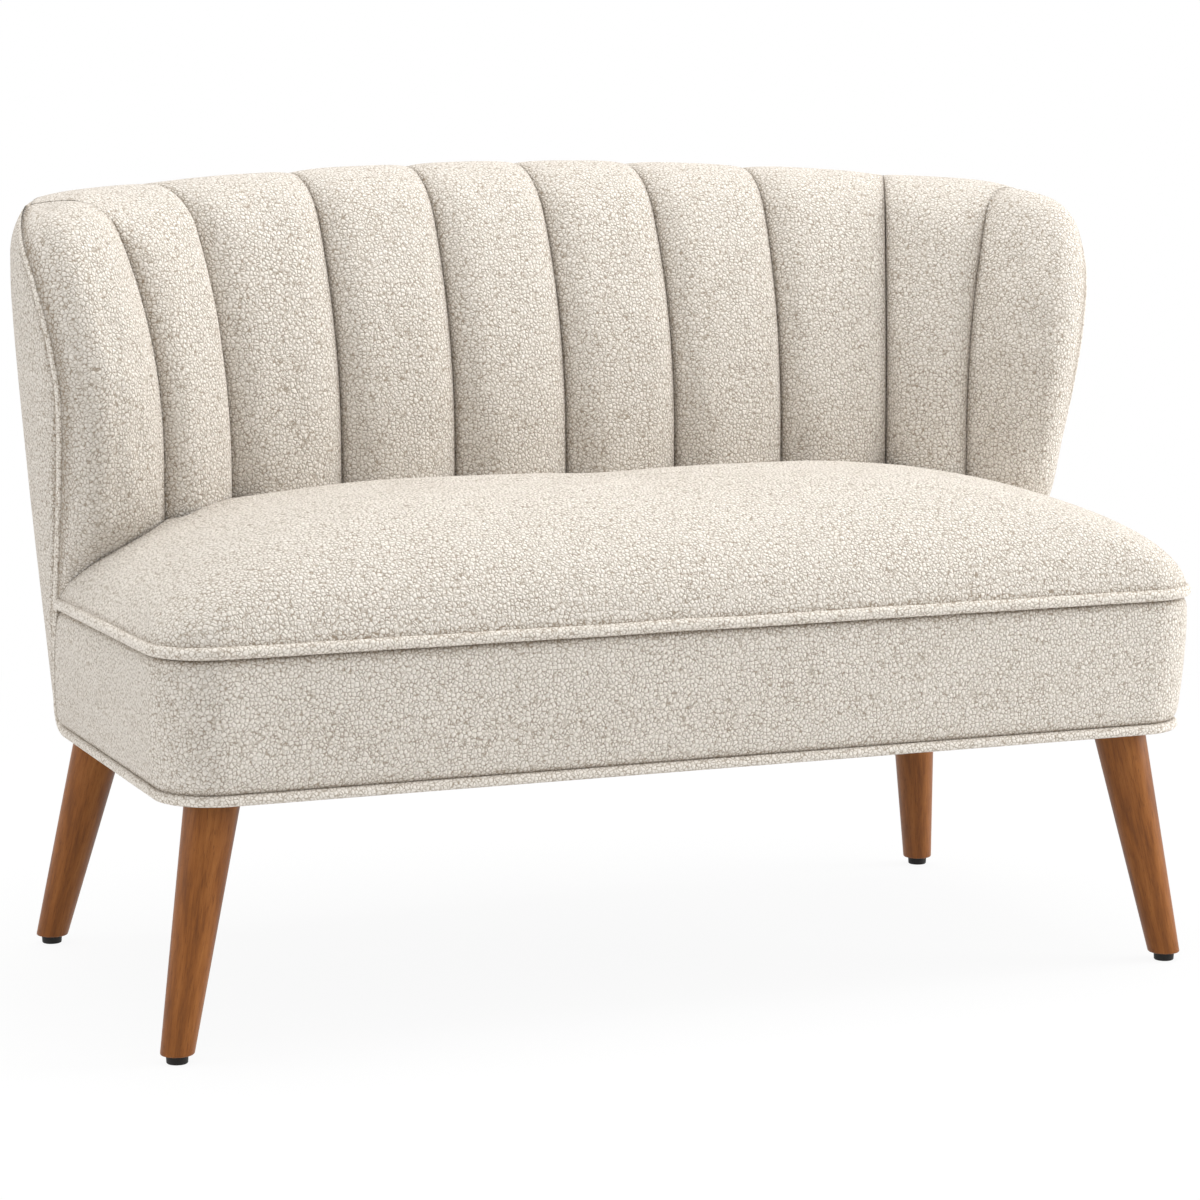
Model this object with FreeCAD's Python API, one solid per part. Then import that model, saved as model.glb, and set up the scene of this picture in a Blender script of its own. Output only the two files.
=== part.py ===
"""Curved two-seater sofa: channelled wrap-round back, tight domed seat, splayed tapered legs.

Millimetres. +X to the right in a front view, +Y to the back, +Z up.
The origin is on the floor, under the middle of the sofa.
"""
import FreeCAD, Part
import math
import os

V = FreeCAD.Vector
UP = V(0, 0, 1)

# Heights
underside_height = 230.0      # floor to the underside of the base
base_height = 135.0           # underside to the middle of the seat piping
seat_crown = 120.0            # seat piping to the top of the domed seat
back_top_height = 764.0       # floor to the top of the back, at its middle
back_top_drop = 21.0          # how much lower the top is at the wing seams
shoulder_drop = 24.0          # top of the back to the top edge of the outer panel
wing_tip_drop = 189.0         # top of the back to the foremost point of the wing edge
lean_start_gap = 15.0         # top of the seat to where the back starts to lean

# Depths
seat_depth = 368.0            # front of the piping to the channel seams at seat level
back_depth = 212.0            # channel seams at seat level to the rear of the outer panel
back_lean = 12.0              # how far the outer panel leans back over its height
wing_tip_forward = 83.0       # channel seams to the foremost point of the wing edge
wing_foot_behind = 54.0       # channel seams to the wing edge at the underside
wing_shoulder_length = 185.0  # foremost point of the wing edge to where it reaches the top edge
wing_shoulder_power = 2.5     # fullness of that rounded shoulder

# Widths and plan radii
overall_width = 1100.0        # outer panel at its widest
base_set_in = 40.0            # widest line to the side of the base's front corner
foot_set_in = 47.0            # widest line to the outer panel at the underside
wing_width = 129.0            # widest line to the wing seam
outer_channel_width = 71.5    # wing seam to the seam beside it
base_flare = 5.0              # the band stands this much further out at its top
front_corner_radius = 55.0
foot_corner_radius = 130.0
full_corner_radius = 200.0
rear_plan_radius = 2200.0     # the long curve across the back
widest_drop = 104.0           # top of the back to the height where the outer panel is widest
flare_power = 1.5
rear_roll_radius = 75.0       # rounding of the outer panel into the top

# Back channels
inner_channel_count = 6       # equal channels between the two outer pairs
wing_seam_forward = 46.0
seam_bow = 5.0                # how far the seam before the wing stands in front of the middle one
wing_seam_turn = 51.0         # degrees: plan direction in which the wing seam rolls back
turn_power = 4.0
top_power = 1.5
apex_setback_middle = 137.0   # seam at seat level to the top of its roll
apex_setback_wing = 88.0
roll_radius_middle = 93.0
roll_radius_wing = 48.0
channel_bulge = 28.0
wing_bulge = 38.0
bulge_at_top = 0.1            # share of the bulge that is left behind the top
bulge_power = 6
channel_thickness = 40.0
tail_thickness = 26.0
soft_gap = 0.35               # half the gap between neighbouring soft pieces

# Cover pieces
band_thickness = 14.0
panel_thickness = 12.0
seam_gap = 3.0                # slit between the band and the outer panel, where the welt is sewn in
piping_diameter = 11.5
piping_outset = 2.0
welt_diameter = 10.0
welt_proud = 2.0
dust_cover_thickness = 1.0
dust_cover_inset = 12.0
felt_thickness = 6.0
felt_margin = 12.0
seat_gap = 1.0                # seat cushion to the back channels
dome_reach_side = 330.0       # length over which the seat rises from its side to full height
dome_reach_front = 200.0
dome_reach_rear = 150.0
dome_rear_tuck = 55.0         # how far the dome would run behind the channel seams
dome_corner_growth = 1.2
dome_steps = (0.22, 0.42, 0.6, 0.76, 0.89, 0.98)   # shares of the crown where the seat's sections lie
dome_rear_radius = 25.0

# Timber frame
rail_height = 105.0
rail_thickness = 22.0
block_size = 86.0
plank_width = 55.0
plank_height = 35.0
plank_behind_seam = 5.0
stretcher_width = 40.0
stretcher_height = 40.0
rib_thickness = 18.0
rib_top_drop = 70.0           # top of the back to the top of the ribs
rib_hole_diameter = 62.0
strip_height = 60.0
strip_thickness = 18.0
middle_strip_rise = 84.0      # top of the base rails to the underside of the middle back rail
strip_start_angle = 17.0      # degrees round the rear corner where the bent rails begin
strip_gap = 1.0               # bent rails to the outer panel and to what stands against them
rib_gap = 0.8                 # ribs to the channels in front of them
post_gap = 8.0                # wing posts to the channels in front of them
fit_gap = 0.3

# Webbing
web_width = 60.0
web_thickness = 2.0
web_count = 7
web_edge_inset = 135.0        # side of the base to the middle of the outermost band
web_end_margin = 25.0
cross_web_count = 2
cross_web_pitch = 110.0

# Legs and feet
leg_top_diameter = 50.0
leg_end_diameter = 30.0
leg_end_chamfer = 1.5
leg_hole_margin = 3.0
front_leg_inset_side = 55.0   # side of the base to the leg's axis, at the underside
front_leg_inset_front = 57.0
front_leg_lean_side = 43.0    # how far the leg leans out over its height
front_leg_lean_front = 23.0
rear_leg_inset_side = 61.0
rear_leg_inset_rear = 92.0
rear_leg_lean_side = 41.0
rear_leg_lean_rear = 60.0
bolt_diameter = 8.0
bolt_in_leg = 45.0
bolt_in_block = 62.0
bolt_clearance = 0.2
nut_seat_depth = 50.0
nut_flange_diameter = 22.0
nut_flange_thickness = 2.0
nut_barrel_diameter = 10.5
nut_barrel_length = 9.0
nut_room = 1.0
foot_height = 8.0
foot_diameter = 20.0
foot_base_diameter = 19.0
foot_edge = 1.0
stem_diameter = 6.0
stem_length = 22.0
stem_clearance = 0.05
stem_end_room = 4.0

# Levels and lines that the pieces share
base_front_width = overall_width - 2 * base_set_in
back_foot_width = overall_width - 2 * foot_set_in
wing_seam_x = overall_width / 2 - wing_width
channel_pitch = 2 * (wing_seam_x - outer_channel_width) / inner_channel_count
web_pitch = (base_front_width - 2 * web_edge_inset) / (web_count - 1)
stretcher_x = 1.5 * channel_pitch
overall_depth = seat_depth + back_depth
front_y = -overall_depth / 2
seam_y = front_y + seat_depth
rear_y = overall_depth / 2
piping_z = underside_height + base_height
piping_top_z = piping_z + piping_diameter / 2
band_top_z = piping_z - piping_diameter / 2 - fit_gap
band_bottom_z = underside_height + welt_diameter + fit_gap
frame_z = underside_height + dust_cover_thickness
rail_top_z = frame_z + rail_height
deck_z = rail_top_z + 2 * web_thickness
felt_top_z = deck_z + felt_thickness
channel_foot_z = deck_z + fit_gap
wing_foot_z = piping_top_z + fit_gap
seat_top_z = piping_z + seat_crown
lean_z = seat_top_z + lean_start_gap
shoulder_z = back_top_height - shoulder_drop
tip_z = back_top_height - wing_tip_drop
widest_z = back_top_height - widest_drop
roll_z = back_top_height - rear_roll_radius
rib_top_z = back_top_height - rib_top_drop
middle_strip_z = rail_top_z + middle_strip_rise
tip_y = seam_y - wing_tip_forward
wing_foot_y = seam_y + wing_foot_behind
band_front_y = front_y + piping_diameter / 2 + piping_outset
frame_inset = band_thickness + fit_gap
base_levels = [frame_z + (wing_foot_z - frame_z) * step / 4 for step in range(4)]
strip_inset = panel_thickness + strip_gap
core_inset = strip_inset + strip_thickness + strip_gap


def segment(start, end):
    return Part.LineSegment(start, end).toShape()


def arc(start, middle, end):
    return Part.Arc(start, middle, end).toShape()


def mirror_x(point):
    return V(-point.x, point.y, point.z)


def closed_wire(edges):
    return Part.Wire(Part.__sortEdges__(edges))


def polygon_prism(points, z_low, z_high):
    """Upright prism over a plan polygon."""
    corners = [V(p.x, p.y, z_low) for p in points]
    return Part.Face(Part.makePolygon(corners + corners[:1])).extrude(UP * (z_high - z_low))


def box(x_low, x_high, y_low, y_high, z_low, z_high):
    return Part.makeBox(x_high - x_low, y_high - y_low, z_high - z_low, V(x_low, y_low, z_low))


def ruled_solid(wires):
    """Solid through plan wires with matching edges, straight from each wire to the next."""
    return Part.makeLoft(wires, True, True)


def smooth_step(share):
    return share * share * (3 - 2 * share)


# Outer wall of the back: two corner arcs and one long rear arc at every height

class Wall:
    """Plan of the outer panel at one height, optionally offset inwards."""

    def __init__(self, z, inset=0.0):
        below = max(0.0, (widest_z - z) / (widest_z - underside_height))
        taper = below ** flare_power
        half_width = (overall_width - (overall_width - back_foot_width) * taper) / 2
        corner = full_corner_radius - (full_corner_radius - foot_corner_radius) * taper
        above = max(0.0, z - roll_z)
        rolled = rear_roll_radius - math.sqrt(rear_roll_radius ** 2 - above ** 2)
        self.z = z
        self.lift = above / rear_roll_radius
        self.x = half_width - corner
        self.long_y = rear_y - back_lean * taper - rear_plan_radius
        self.y = self.long_y + math.sqrt((rear_plan_radius - corner) ** 2 - self.x ** 2)
        self.radius = corner - rolled - inset
        self.long_radius = rear_plan_radius - rolled - inset
        self.blend = math.atan2(self.y - self.long_y, self.x)

    def corner_point(self, angle):
        return V(self.x + self.radius * math.cos(angle), self.y + self.radius * math.sin(angle), self.z)

    def rear_point(self):
        return V(0, self.long_y + self.long_radius, self.z)

    def angle_at(self, y):
        return math.asin((y - self.y) / self.radius)

    def holds(self, x, y):
        """Whether a plan point lies inside the wall's corner and rear arcs."""
        if math.atan2(y - self.long_y, abs(x)) > self.blend:
            return math.hypot(x, y - self.long_y) < self.long_radius
        return math.hypot(abs(x) - self.x, y - self.y) < self.radius

    def reach(self, start, direction):
        """Distance from an inner plan point to the wall along a plan direction."""
        low = 0.0
        high = 2 * back_depth
        for _ in range(40):
            middle = (low + high) / 2
            if self.holds(start.x + direction.x * middle, start.y + direction.y * middle):
                low = middle
            else:
                high = middle
        return low

    def edges(self, start_angle):
        """Right corner arc, rear arc and left corner arc."""
        first = self.corner_point(start_angle)
        half = self.corner_point((start_angle + self.blend) / 2)
        joint = self.corner_point(self.blend)
        return [
            arc(first, half, joint),
            arc(joint, self.rear_point(), mirror_x(joint)),
            arc(mirror_x(joint), mirror_x(half), mirror_x(first)),
        ]


def wing_edge_y(z):
    """Front edge of the outer panel: foremost at the wing tip, sweeping back above and below it."""
    if z <= tip_z:
        share = (tip_z - z) / (tip_z - underside_height)
        return tip_y + (wing_tip_forward + wing_foot_behind) * smooth_step(share)
    share = min(1.0, (z - tip_z) / (shoulder_z - tip_z))
    rest = (1 - share ** wing_shoulder_power) ** (1 / wing_shoulder_power)
    return tip_y + wing_shoulder_length * (1 - rest)


def wing_edge_z(y):
    """Height of the wing edge's rounded shoulder over a plan depth."""
    share = min(1.0, (y - tip_y) / wing_shoulder_length)
    rest = (1 - (1 - share) ** wing_shoulder_power) ** (1 / wing_shoulder_power)
    return tip_z + (shoulder_z - tip_z) * rest


def wing_edge(z):
    """Point of the right wing edge and the level outward direction of the wall there."""
    wall = Wall(z)
    angle = wall.angle_at(wing_edge_y(z))
    return wall.corner_point(angle), V(math.cos(angle), math.sin(angle), 0)


def wall_ring(z, outer_inset, inner_inset, start_angle):
    """Closed C-shaped plan wire between two offsets of the outer wall."""
    outer = Wall(z, outer_inset)
    inner = Wall(z, inner_inset)
    outer_end = outer.corner_point(start_angle)
    inner_end = inner.corner_point(start_angle)
    ends = [segment(mirror_x(outer_end), mirror_x(inner_end)), segment(inner_end, outer_end)]
    return closed_wire(outer.edges(start_angle) + inner.edges(start_angle) + ends)


def wall_strip(z_low, z_high):
    """Bent rail that lies against the inside of the outer panel."""
    start = math.radians(strip_start_angle)
    rings = [wall_ring(z, strip_inset, strip_inset + strip_thickness, start) for z in (z_low, z_high)]
    return ruled_solid(rings)


def wall_core(z_low, z_high):
    """Space inside the bent rails, open to the front; it trims what stands against them."""
    wires = []
    for z in (z_low, z_high):
        wall = Wall(z, core_inset)
        end = wall.corner_point(0.0)
        front = V(end.x, front_y, z)
        sides = [segment(mirror_x(end), mirror_x(front)), segment(mirror_x(front), front), segment(front, end)]
        wires.append(closed_wire(wall.edges(0.0) + sides))
    return ruled_solid(wires)


# Channel seams: each runs up the inside of the back, leans away, rolls over the top and ends at the panel

class Seam:
    """One seam, in an upright plane that stands on its foot point and turns outwards near the wings."""

    curve_steps = 3
    stations = 2 + 3 * curve_steps

    def __init__(self, x):
        share = abs(x) / wing_seam_x
        forward = seam_bow * (abs(x) / (wing_seam_x - outer_channel_width)) ** 2
        if share >= 1:
            forward = wing_seam_forward
        turn = math.radians(wing_seam_turn) * share ** turn_power
        blend = share ** top_power
        self.side = 1 if x >= 0 else -1
        self.foot = V(abs(x), seam_y - forward, 0)
        self.away = V(math.sin(turn), math.cos(turn), 0)
        self.setback = apex_setback_middle + (apex_setback_wing - apex_setback_middle) * blend
        self.roll = roll_radius_middle + (roll_radius_wing - roll_radius_middle) * blend
        self.top = back_top_height - back_top_drop * share ** 2
        rise = self.top - lean_z
        self.lean = 2 * math.atan((self.setback - self.roll) / (rise - self.roll))
        self.lean_radius = self.roll + (rise - self.roll) / math.sin(self.lean)
        self.end_z = shoulder_z + fit_gap
        self.end = Wall(shoulder_z).reach(self.foot, self.away)
        if share >= 1:
            self.end -= channel_thickness / 4
        run = self.end - self.setback
        fall = self.top - self.end_z
        self.tail_radius = (run ** 2 + fall ** 2) / (2 * fall)
        self.tail = math.asin(run / self.tail_radius)

    def turned(self, along, up):
        """Vector with one part along the seam's plan direction and one part upwards."""
        return V(self.away.x * along * self.side, self.away.y * along, up)

    def across(self):
        """Plan direction square to the seam's plane, towards +X."""
        return V(self.away.y, -self.away.x * self.side, 0)

    def place(self, distance, z):
        return V(self.foot.x * self.side, self.foot.y, 0) + self.turned(distance, z)

    def station(self, index, foot_z):
        """Seam point, direction of travel, outward normal and turn at one station."""
        lean_end = 1 + self.curve_steps
        roll_end = lean_end + self.curve_steps
        if index == 0:
            angle = 0.0
            point = self.place(0.0, foot_z)
        elif index <= lean_end:
            angle = self.lean * (index - 1) / self.curve_steps
            back = self.lean_radius * (1 - math.cos(angle))
            point = self.place(back, lean_z + self.lean_radius * math.sin(angle))
        elif index <= roll_end:
            angle = self.lean + (math.pi / 2 - self.lean) * (index - lean_end) / self.curve_steps
            back = self.setback - self.roll * math.cos(angle)
            point = self.place(back, self.top - self.roll * (1 - math.sin(angle)))
        else:
            over = self.tail * (index - roll_end) / self.curve_steps
            angle = math.pi / 2 + over
            drop = self.tail_radius * (1 - math.cos(over))
            point = self.place(self.setback + self.tail_radius * math.sin(over), self.top - drop)
        travel = self.turned(math.sin(angle), math.cos(angle))
        return point, travel, self.turned(-math.cos(angle), math.sin(angle)), angle

    def inner_point(self, index, foot_z):
        """Back corner of a channel section; the last one lies level over the outer panel's top edge."""
        point, _, outward, _ = self.station(index, foot_z)
        if index == self.stations - 1:
            return point - self.turned(tail_thickness, 0)
        return point - outward * channel_thickness


class WingEdge:
    """The wing edge, with stations that keep step with those of the wing seam beside it."""

    samples = 80

    def __init__(self, side, seam):
        self.side = side
        top = wing_edge_z(seam.foot.y + seam.away.y * seam.end)
        heights = [wing_foot_z + (top - wing_foot_z) * step / self.samples for step in range(self.samples + 1)]
        along_edge = running_length([wing_edge(z)[0] for z in heights])
        along_seam = running_length([seam.station(i, wing_foot_z)[0] for i in range(seam.stations)])
        self.heights = []
        for length in along_seam:
            target = min(length / along_seam[-1], 1.0) * along_edge[-1]
            above = next(i for i in range(1, self.samples + 1) if along_edge[i] >= target - fit_gap)
            share = (target - along_edge[above - 1]) / (along_edge[above] - along_edge[above - 1])
            self.heights.append(heights[above - 1] + (heights[above] - heights[above - 1]) * share)
        self.end_z = seam.end_z

    def across(self):
        return V(1, 0, 0)

    def travel(self, z):
        step = 1.0
        return (wing_edge(z)[0] - wing_edge(z - step)[0]).normalize()

    def place(self, index, depth):
        """Point just ahead of the outer panel's end face, at a depth inside the wall."""
        z = self.heights[index]
        point, outward = wing_edge(z)
        point = point + outward.cross(self.travel(z)).normalize() * 2 * soft_gap - outward * depth
        if index == 0:
            point.z = wing_foot_z
        if index == len(self.heights) - 1:
            point.z = self.end_z
        return V(point.x * self.side, point.y, point.z)

    def station(self, index, _):
        travel = self.travel(self.heights[index])
        return self.place(index, 0), V(travel.x * self.side, travel.y, travel.z), None, None

    def inner_point(self, index, _):
        lift = Wall(self.heights[index]).lift
        return self.place(index, channel_thickness * (1 - lift) + panel_thickness * lift)


def running_length(points):
    lengths = [0.0]
    for before, after in zip(points, points[1:]):
        lengths.append(lengths[-1] + (after - before).Length)
    return lengths


def bulge_share(angle):
    """Channels are fullest against the sitter's back and flatten over the top."""
    return bulge_at_top + (1 - bulge_at_top) * math.cos(angle / 2) ** bulge_power


def channel(first, second, bulge, foot_z, grow=0.0):
    """Stuffed channel between two seams: an arc in front, straight walls along the seams."""
    middle = Seam(0.0)
    sections = []
    for index in range(Seam.stations):
        start, travel_1, _, _ = first.station(index, foot_z)
        end, travel_2, _, _ = second.station(index, foot_z)
        start_gap = first.across() * (soft_gap - grow)
        end_gap = second.across() * (grow - soft_gap)
        start_back = first.inner_point(index, foot_z) + start_gap
        end_back = second.inner_point(index, foot_z) + end_gap
        start = start + start_gap
        end = end + end_gap
        level = index in (0, Seam.stations - 1)
        travel = UP if level else travel_1 + travel_2
        proud = (end - start).cross(travel).normalize()
        if proud.dot(start + end - start_back - end_back) < 0:
            proud = proud * -1
        fullness = bulge * bulge_share(middle.station(index, foot_z)[3])
        chord_middle = (start + end) * 0.5
        if index == Seam.stations - 1:
            fullness = max(fullness, Wall(shoulder_z).reach(chord_middle, proud))
        crest = chord_middle + proud * (fullness + grow)
        start = start + proud * grow
        end = end + proud * grow
        start_back = start_back - proud * grow
        end_back = end_back - proud * grow
        outline = [arc(start, crest, end)]
        for corner, following in ((end, end_back), (end_back, start_back), (start_back, start)):
            outline.append(segment(corner, following))
        sections.append(Part.Wire(outline))
    return ruled_solid(sections)


half_count = inner_channel_count // 2
inner_seams = [Seam(channel_pitch * step) for step in range(-half_count, half_count + 1)]
left_wing_seam = Seam(-wing_seam_x)
right_wing_seam = Seam(wing_seam_x)
seams = [left_wing_seam] + inner_seams + [right_wing_seam]
left_edge = WingEdge(-1, left_wing_seam)
right_edge = WingEdge(1, right_wing_seam)


def wing_channel(side, grow=0.0):
    if side < 0:
        return channel(left_edge, left_wing_seam, wing_bulge, wing_foot_z, grow)
    return channel(right_wing_seam, right_edge, wing_bulge, wing_foot_z, grow)


def back_channels():
    """Ten channels from the left wing to the right wing."""
    middle = [channel(a, b, channel_bulge, channel_foot_z) for a, b in zip(seams, seams[1:])]
    return [wing_channel(-1)] + middle + [wing_channel(1)]


def outer_back_panel():
    """One wrapped panel from the underside to the top edge, ending at the wing edges."""
    levels = base_levels + right_edge.heights + [shoulder_z]
    rings = []
    for z in levels:
        rings.append(wall_ring(z, 0.0, panel_thickness, Wall(z).angle_at(wing_edge_y(z))))
    return ruled_solid(rings)


# Base: band, welt, piping, rails and blocks follow one plan outline

class Outline:
    """Right half of the base plan at one height: front line, rounded corner, side line to the wing edge."""

    def __init__(self, z, inset=0.0):
        share = (z - underside_height) / (band_top_z - underside_height)
        front = band_front_y + base_flare * (1 - share)
        corner = V(base_front_width / 2 + base_flare * share, front, z)
        self.z = z
        self.edge = wing_edge(z)[0]
        self.along = (self.edge - corner).normalize()
        self.inward = V(-self.along.y, self.along.x, 0)
        radius = front_corner_radius - inset
        self.front = front + inset
        shifted = corner + self.inward * (inset + radius)
        centre = shifted + self.along * ((self.front + radius - shifted.y) / self.along.y)
        self.front_end = V(centre.x, self.front, z)
        self.side_start = centre - self.inward * radius
        middle = (self.front_end - centre) + (self.side_start - centre)
        self.corner_middle = centre + middle.normalize() * radius
        self.side_end = self.edge + self.inward * inset

    def side_point(self, y):
        return self.side_start + self.along * ((y - self.side_start.y) / self.along.y)

    def edges(self, end_gap):
        """Path from the right wing edge round the front to the left wing edge."""
        end = self.side_end - self.along * end_gap
        return [
            segment(end, self.side_start),
            arc(self.side_start, self.corner_middle, self.front_end),
            segment(self.front_end, mirror_x(self.front_end)),
            arc(mirror_x(self.front_end), mirror_x(self.corner_middle), mirror_x(self.side_start)),
            segment(mirror_x(self.side_start), mirror_x(end)),
        ]

    def end(self, end_gap):
        return self.side_end - self.along * end_gap


def base_prism(inset, z_low, z_high):
    """Upright prism over the whole base plan, offset inwards."""
    outline = Outline(underside_height, inset)
    wall = Wall(underside_height, inset)
    angle = Wall(underside_height).angle_at(wing_foot_y)
    first = wall.corner_point(angle)
    edges = outline.edges(0.0)[1:4] + wall.edges(angle)
    edges.append(segment(first, outline.side_start))
    edges.append(segment(mirror_x(outline.side_start), mirror_x(first)))
    solid = Part.Face(closed_wire(edges)).extrude(UP * (z_high - z_low))
    solid.translate(UP * (z_low - underside_height))
    return solid


def border_band():
    wires = []
    for z in [band_bottom_z] + base_levels[1:] + [band_top_z]:
        outer = Outline(z)
        inner = Outline(z, band_thickness)
        ends = [segment(outer.end(seam_gap), inner.end(seam_gap))]
        ends.append(segment(mirror_x(outer.end(seam_gap)), mirror_x(inner.end(seam_gap))))
        wires.append(closed_wire(outer.edges(seam_gap) + inner.edges(seam_gap) + ends))
    return ruled_solid(wires)


def cord(outline, diameter, z):
    """Round cord along the base outline."""
    path = Part.Wire(outline.edges(seam_gap + diameter / 2))
    path.translate(UP * (z - outline.z))
    start = path.Edges[0].valueAt(path.Edges[0].FirstParameter)
    ring = Part.Wire(Part.makeCircle(diameter / 2, start, outline.along))
    return path.makePipeShell([ring], True, False)


def seat_piping():
    return cord(Outline(band_top_z, -piping_outset), piping_diameter, piping_z)


def bottom_welt():
    z = underside_height + welt_diameter / 2
    return cord(Outline(underside_height, welt_diameter / 2 - welt_proud), welt_diameter, z)


def dust_cover():
    sheet = base_prism(dust_cover_inset, underside_height, frame_z)
    for leg in legs:
        sheet = sheet.cut(Part.makeCylinder(leg.hole_radius, frame_z, V(leg.top.x, leg.top.y, 0)))
    return sheet


def front_rail():
    outline = Outline(underside_height, frame_inset)
    reach = block_inner_x
    return box(-reach, reach, outline.front, outline.front + rail_thickness, frame_z, rail_top_z)


def side_rail(side):
    outer = Outline(underside_height, frame_inset)
    inner = Outline(underside_height, frame_inset + rail_thickness)
    corners = [outer.side_point(front_block_y), outer.side_point(rear_block_y)]
    corners += [inner.side_point(rear_block_y), inner.side_point(front_block_y)]
    return polygon_prism([V(p.x * side, p.y, 0) for p in corners], frame_z, rail_top_z)


def rear_rail():
    clear = rear_block_x - fit_gap
    return wall_strip(frame_z, rail_top_z).common(box(-clear, clear, 0, rear_y, 0, rail_top_z))


def plank():
    """Rail under the back that carries the ribs and the rear ends of the webbing."""
    reach = Outline(underside_height, frame_inset + rail_thickness).side_end.x - fit_gap
    start = seam_y + plank_behind_seam
    return box(-reach, reach, start, start + plank_width, rail_top_z - plank_height, rail_top_z)


def stretcher(side):
    low = rail_top_z - plank_height - stretcher_height
    middle = side * stretcher_x
    start = Outline(underside_height, frame_inset).front + rail_thickness
    half = stretcher_width / 2
    beam = box(middle - half, middle + half, start, rear_y, low, low + stretcher_height)
    return beam.common(wall_core(frame_z, rail_top_z))


def corner_block(leg):
    """Block in a corner of the base, shaped to its plan, bored for the leg bolt and its nut."""
    if leg.front:
        ends = (band_front_y, front_block_y)
        inner = block_inner_x
    else:
        ends = (rear_block_y, rear_block_y + block_size)
        inner = rear_block_x
    corner = box(inner, base_front_width, ends[0], ends[1], frame_z, rail_top_z)
    if leg.side < 0:
        corner = corner.mirror(V(0, 0, 0), V(1, 0, 0))
    block = base_prism(frame_inset, frame_z, rail_top_z).common(corner)
    bore = bolt_diameter / 2 + bolt_clearance
    barrel = nut_barrel_diameter / 2 + bolt_clearance
    block = block.cut(leg.along_axis(bore, -rail_height, rail_height))
    block = block.cut(leg.along_axis(barrel, nut_seat_depth - nut_barrel_length - nut_room, rail_height))
    return block.cut(leg.along_axis(nut_flange_diameter / 2 + nut_room, nut_seat_depth, 2 * rail_height))


def lengthwise_webbing():
    start = Outline(underside_height, frame_inset).front + fit_gap
    bands = []
    for index in range(web_count):
        middle = (index - (web_count - 1) / 2) * web_pitch
        edge = web_width / 2
        end = seam_y + web_end_margin
        bands.append(box(middle - edge, middle + edge, start, end, rail_top_z, rail_top_z + web_thickness))
    return Part.makeCompound(bands)


def crosswise_webbing():
    reach = Outline(underside_height, frame_inset).side_end.x - fit_gap
    middle = (front_y + seam_y - wing_seam_forward) / 2
    bands = []
    for index in range(cross_web_count):
        y = middle + (index - (cross_web_count - 1) / 2) * cross_web_pitch
        edge = web_width / 2
        bands.append(box(-reach, reach, y - edge, y + edge, deck_z - web_thickness, deck_z))
    return Part.makeCompound(bands)


# Seat: domed cushion trimmed to the back channels, on a felt pad

def rounded_plan(outline, rear, rear_radius):
    """Plan wire with the base's front corners and a straight rear edge."""
    turn = outline.side_point(rear - rear_radius)
    back = turn + V(-rear_radius, rear_radius, 0)
    slope = math.sqrt(0.5)
    middle = turn + V(slope - 1, slope, 0) * rear_radius
    edges = outline.edges(0.0)[1:4]
    edges += [arc(turn, middle, back), arc(mirror_x(back), mirror_x(middle), mirror_x(turn))]
    edges += [segment(back, mirror_x(back)), segment(turn, outline.side_start)]
    edges.append(segment(mirror_x(turn), mirror_x(outline.side_start)))
    return closed_wire(edges)


def dome_plan(share):
    """Level section of the domed seat at a share of its height."""
    z = piping_z + seat_crown * share
    drawn = 1 - math.sqrt(1 - share ** 2)
    outline = Outline(band_top_z)
    front = outline.front + dome_reach_front * drawn
    half = outline.side_start.x - dome_reach_side * drawn
    rear = seam_y + dome_rear_tuck - dome_reach_rear * drawn
    radius = front_corner_radius * (1 + dome_corner_growth * drawn)
    slope = math.sqrt(0.5)
    corner = V(half - radius, front + radius, z)
    points = [V(half - radius, front, z), corner + V(slope, -slope, 0) * radius, V(half, front + radius, z)]
    tail = V(half - dome_rear_radius, rear - dome_rear_radius, z)
    points += [V(half, tail.y, z), tail + V(slope, slope, 0) * dome_rear_radius, V(tail.x, rear, z)]
    edges = [
        segment(mirror_x(points[0]), points[0]),
        arc(points[0], points[1], points[2]),
        segment(points[2], points[3]),
        arc(points[3], points[4], points[5]),
        segment(points[5], mirror_x(points[5])),
        arc(mirror_x(points[5]), mirror_x(points[4]), mirror_x(points[3])),
        segment(mirror_x(points[3]), mirror_x(points[2])),
        arc(mirror_x(points[2]), mirror_x(points[1]), mirror_x(points[0])),
    ]
    return closed_wire(edges)


def back_space():
    """Upright space of the back channels at seat level, with its scalloped front."""
    edges = []
    low = rail_top_z
    feet = [V(seam.foot.x * seam.side, seam.foot.y - seat_gap, low) for seam in seams]
    for start, end in zip(feet, feet[1:]):
        across = (end - start).normalize()
        crest = (start + end) * 0.5 + V(across.y, -across.x, 0) * channel_bulge
        edges.append(arc(start, crest, end))
    far = base_front_width
    ends = [feet[-1], V(far, wing_foot_y, low), V(far, 2 * rear_y, low)]
    ends += [mirror_x(p) for p in reversed(ends)]
    for start, end in zip(ends, ends[1:]):
        edges.append(segment(start, end))
    return Part.Face(closed_wire(edges)).extrude(UP * (back_top_height - low))


def seat_cushion():
    """Tight seat: a plug inside the piping, a dome above it, cut to the shape of the back."""
    first = (wing_foot_z - piping_z) / seat_crown
    dome = ruled_solid([dome_plan(share) for share in (first,) + dome_steps])
    outline = Outline(felt_top_z, band_thickness + fit_gap)
    plan = rounded_plan(outline, seam_y + dome_rear_tuck, dome_rear_radius)
    plug = Part.Face(plan).extrude(UP * (wing_foot_z - felt_top_z))
    cushion = dome.fuse(plug).removeSplitter().cut(back_space())
    for side in (-1, 1):
        cushion = cushion.cut(wing_channel(side, seat_gap))
    return cushion


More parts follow.
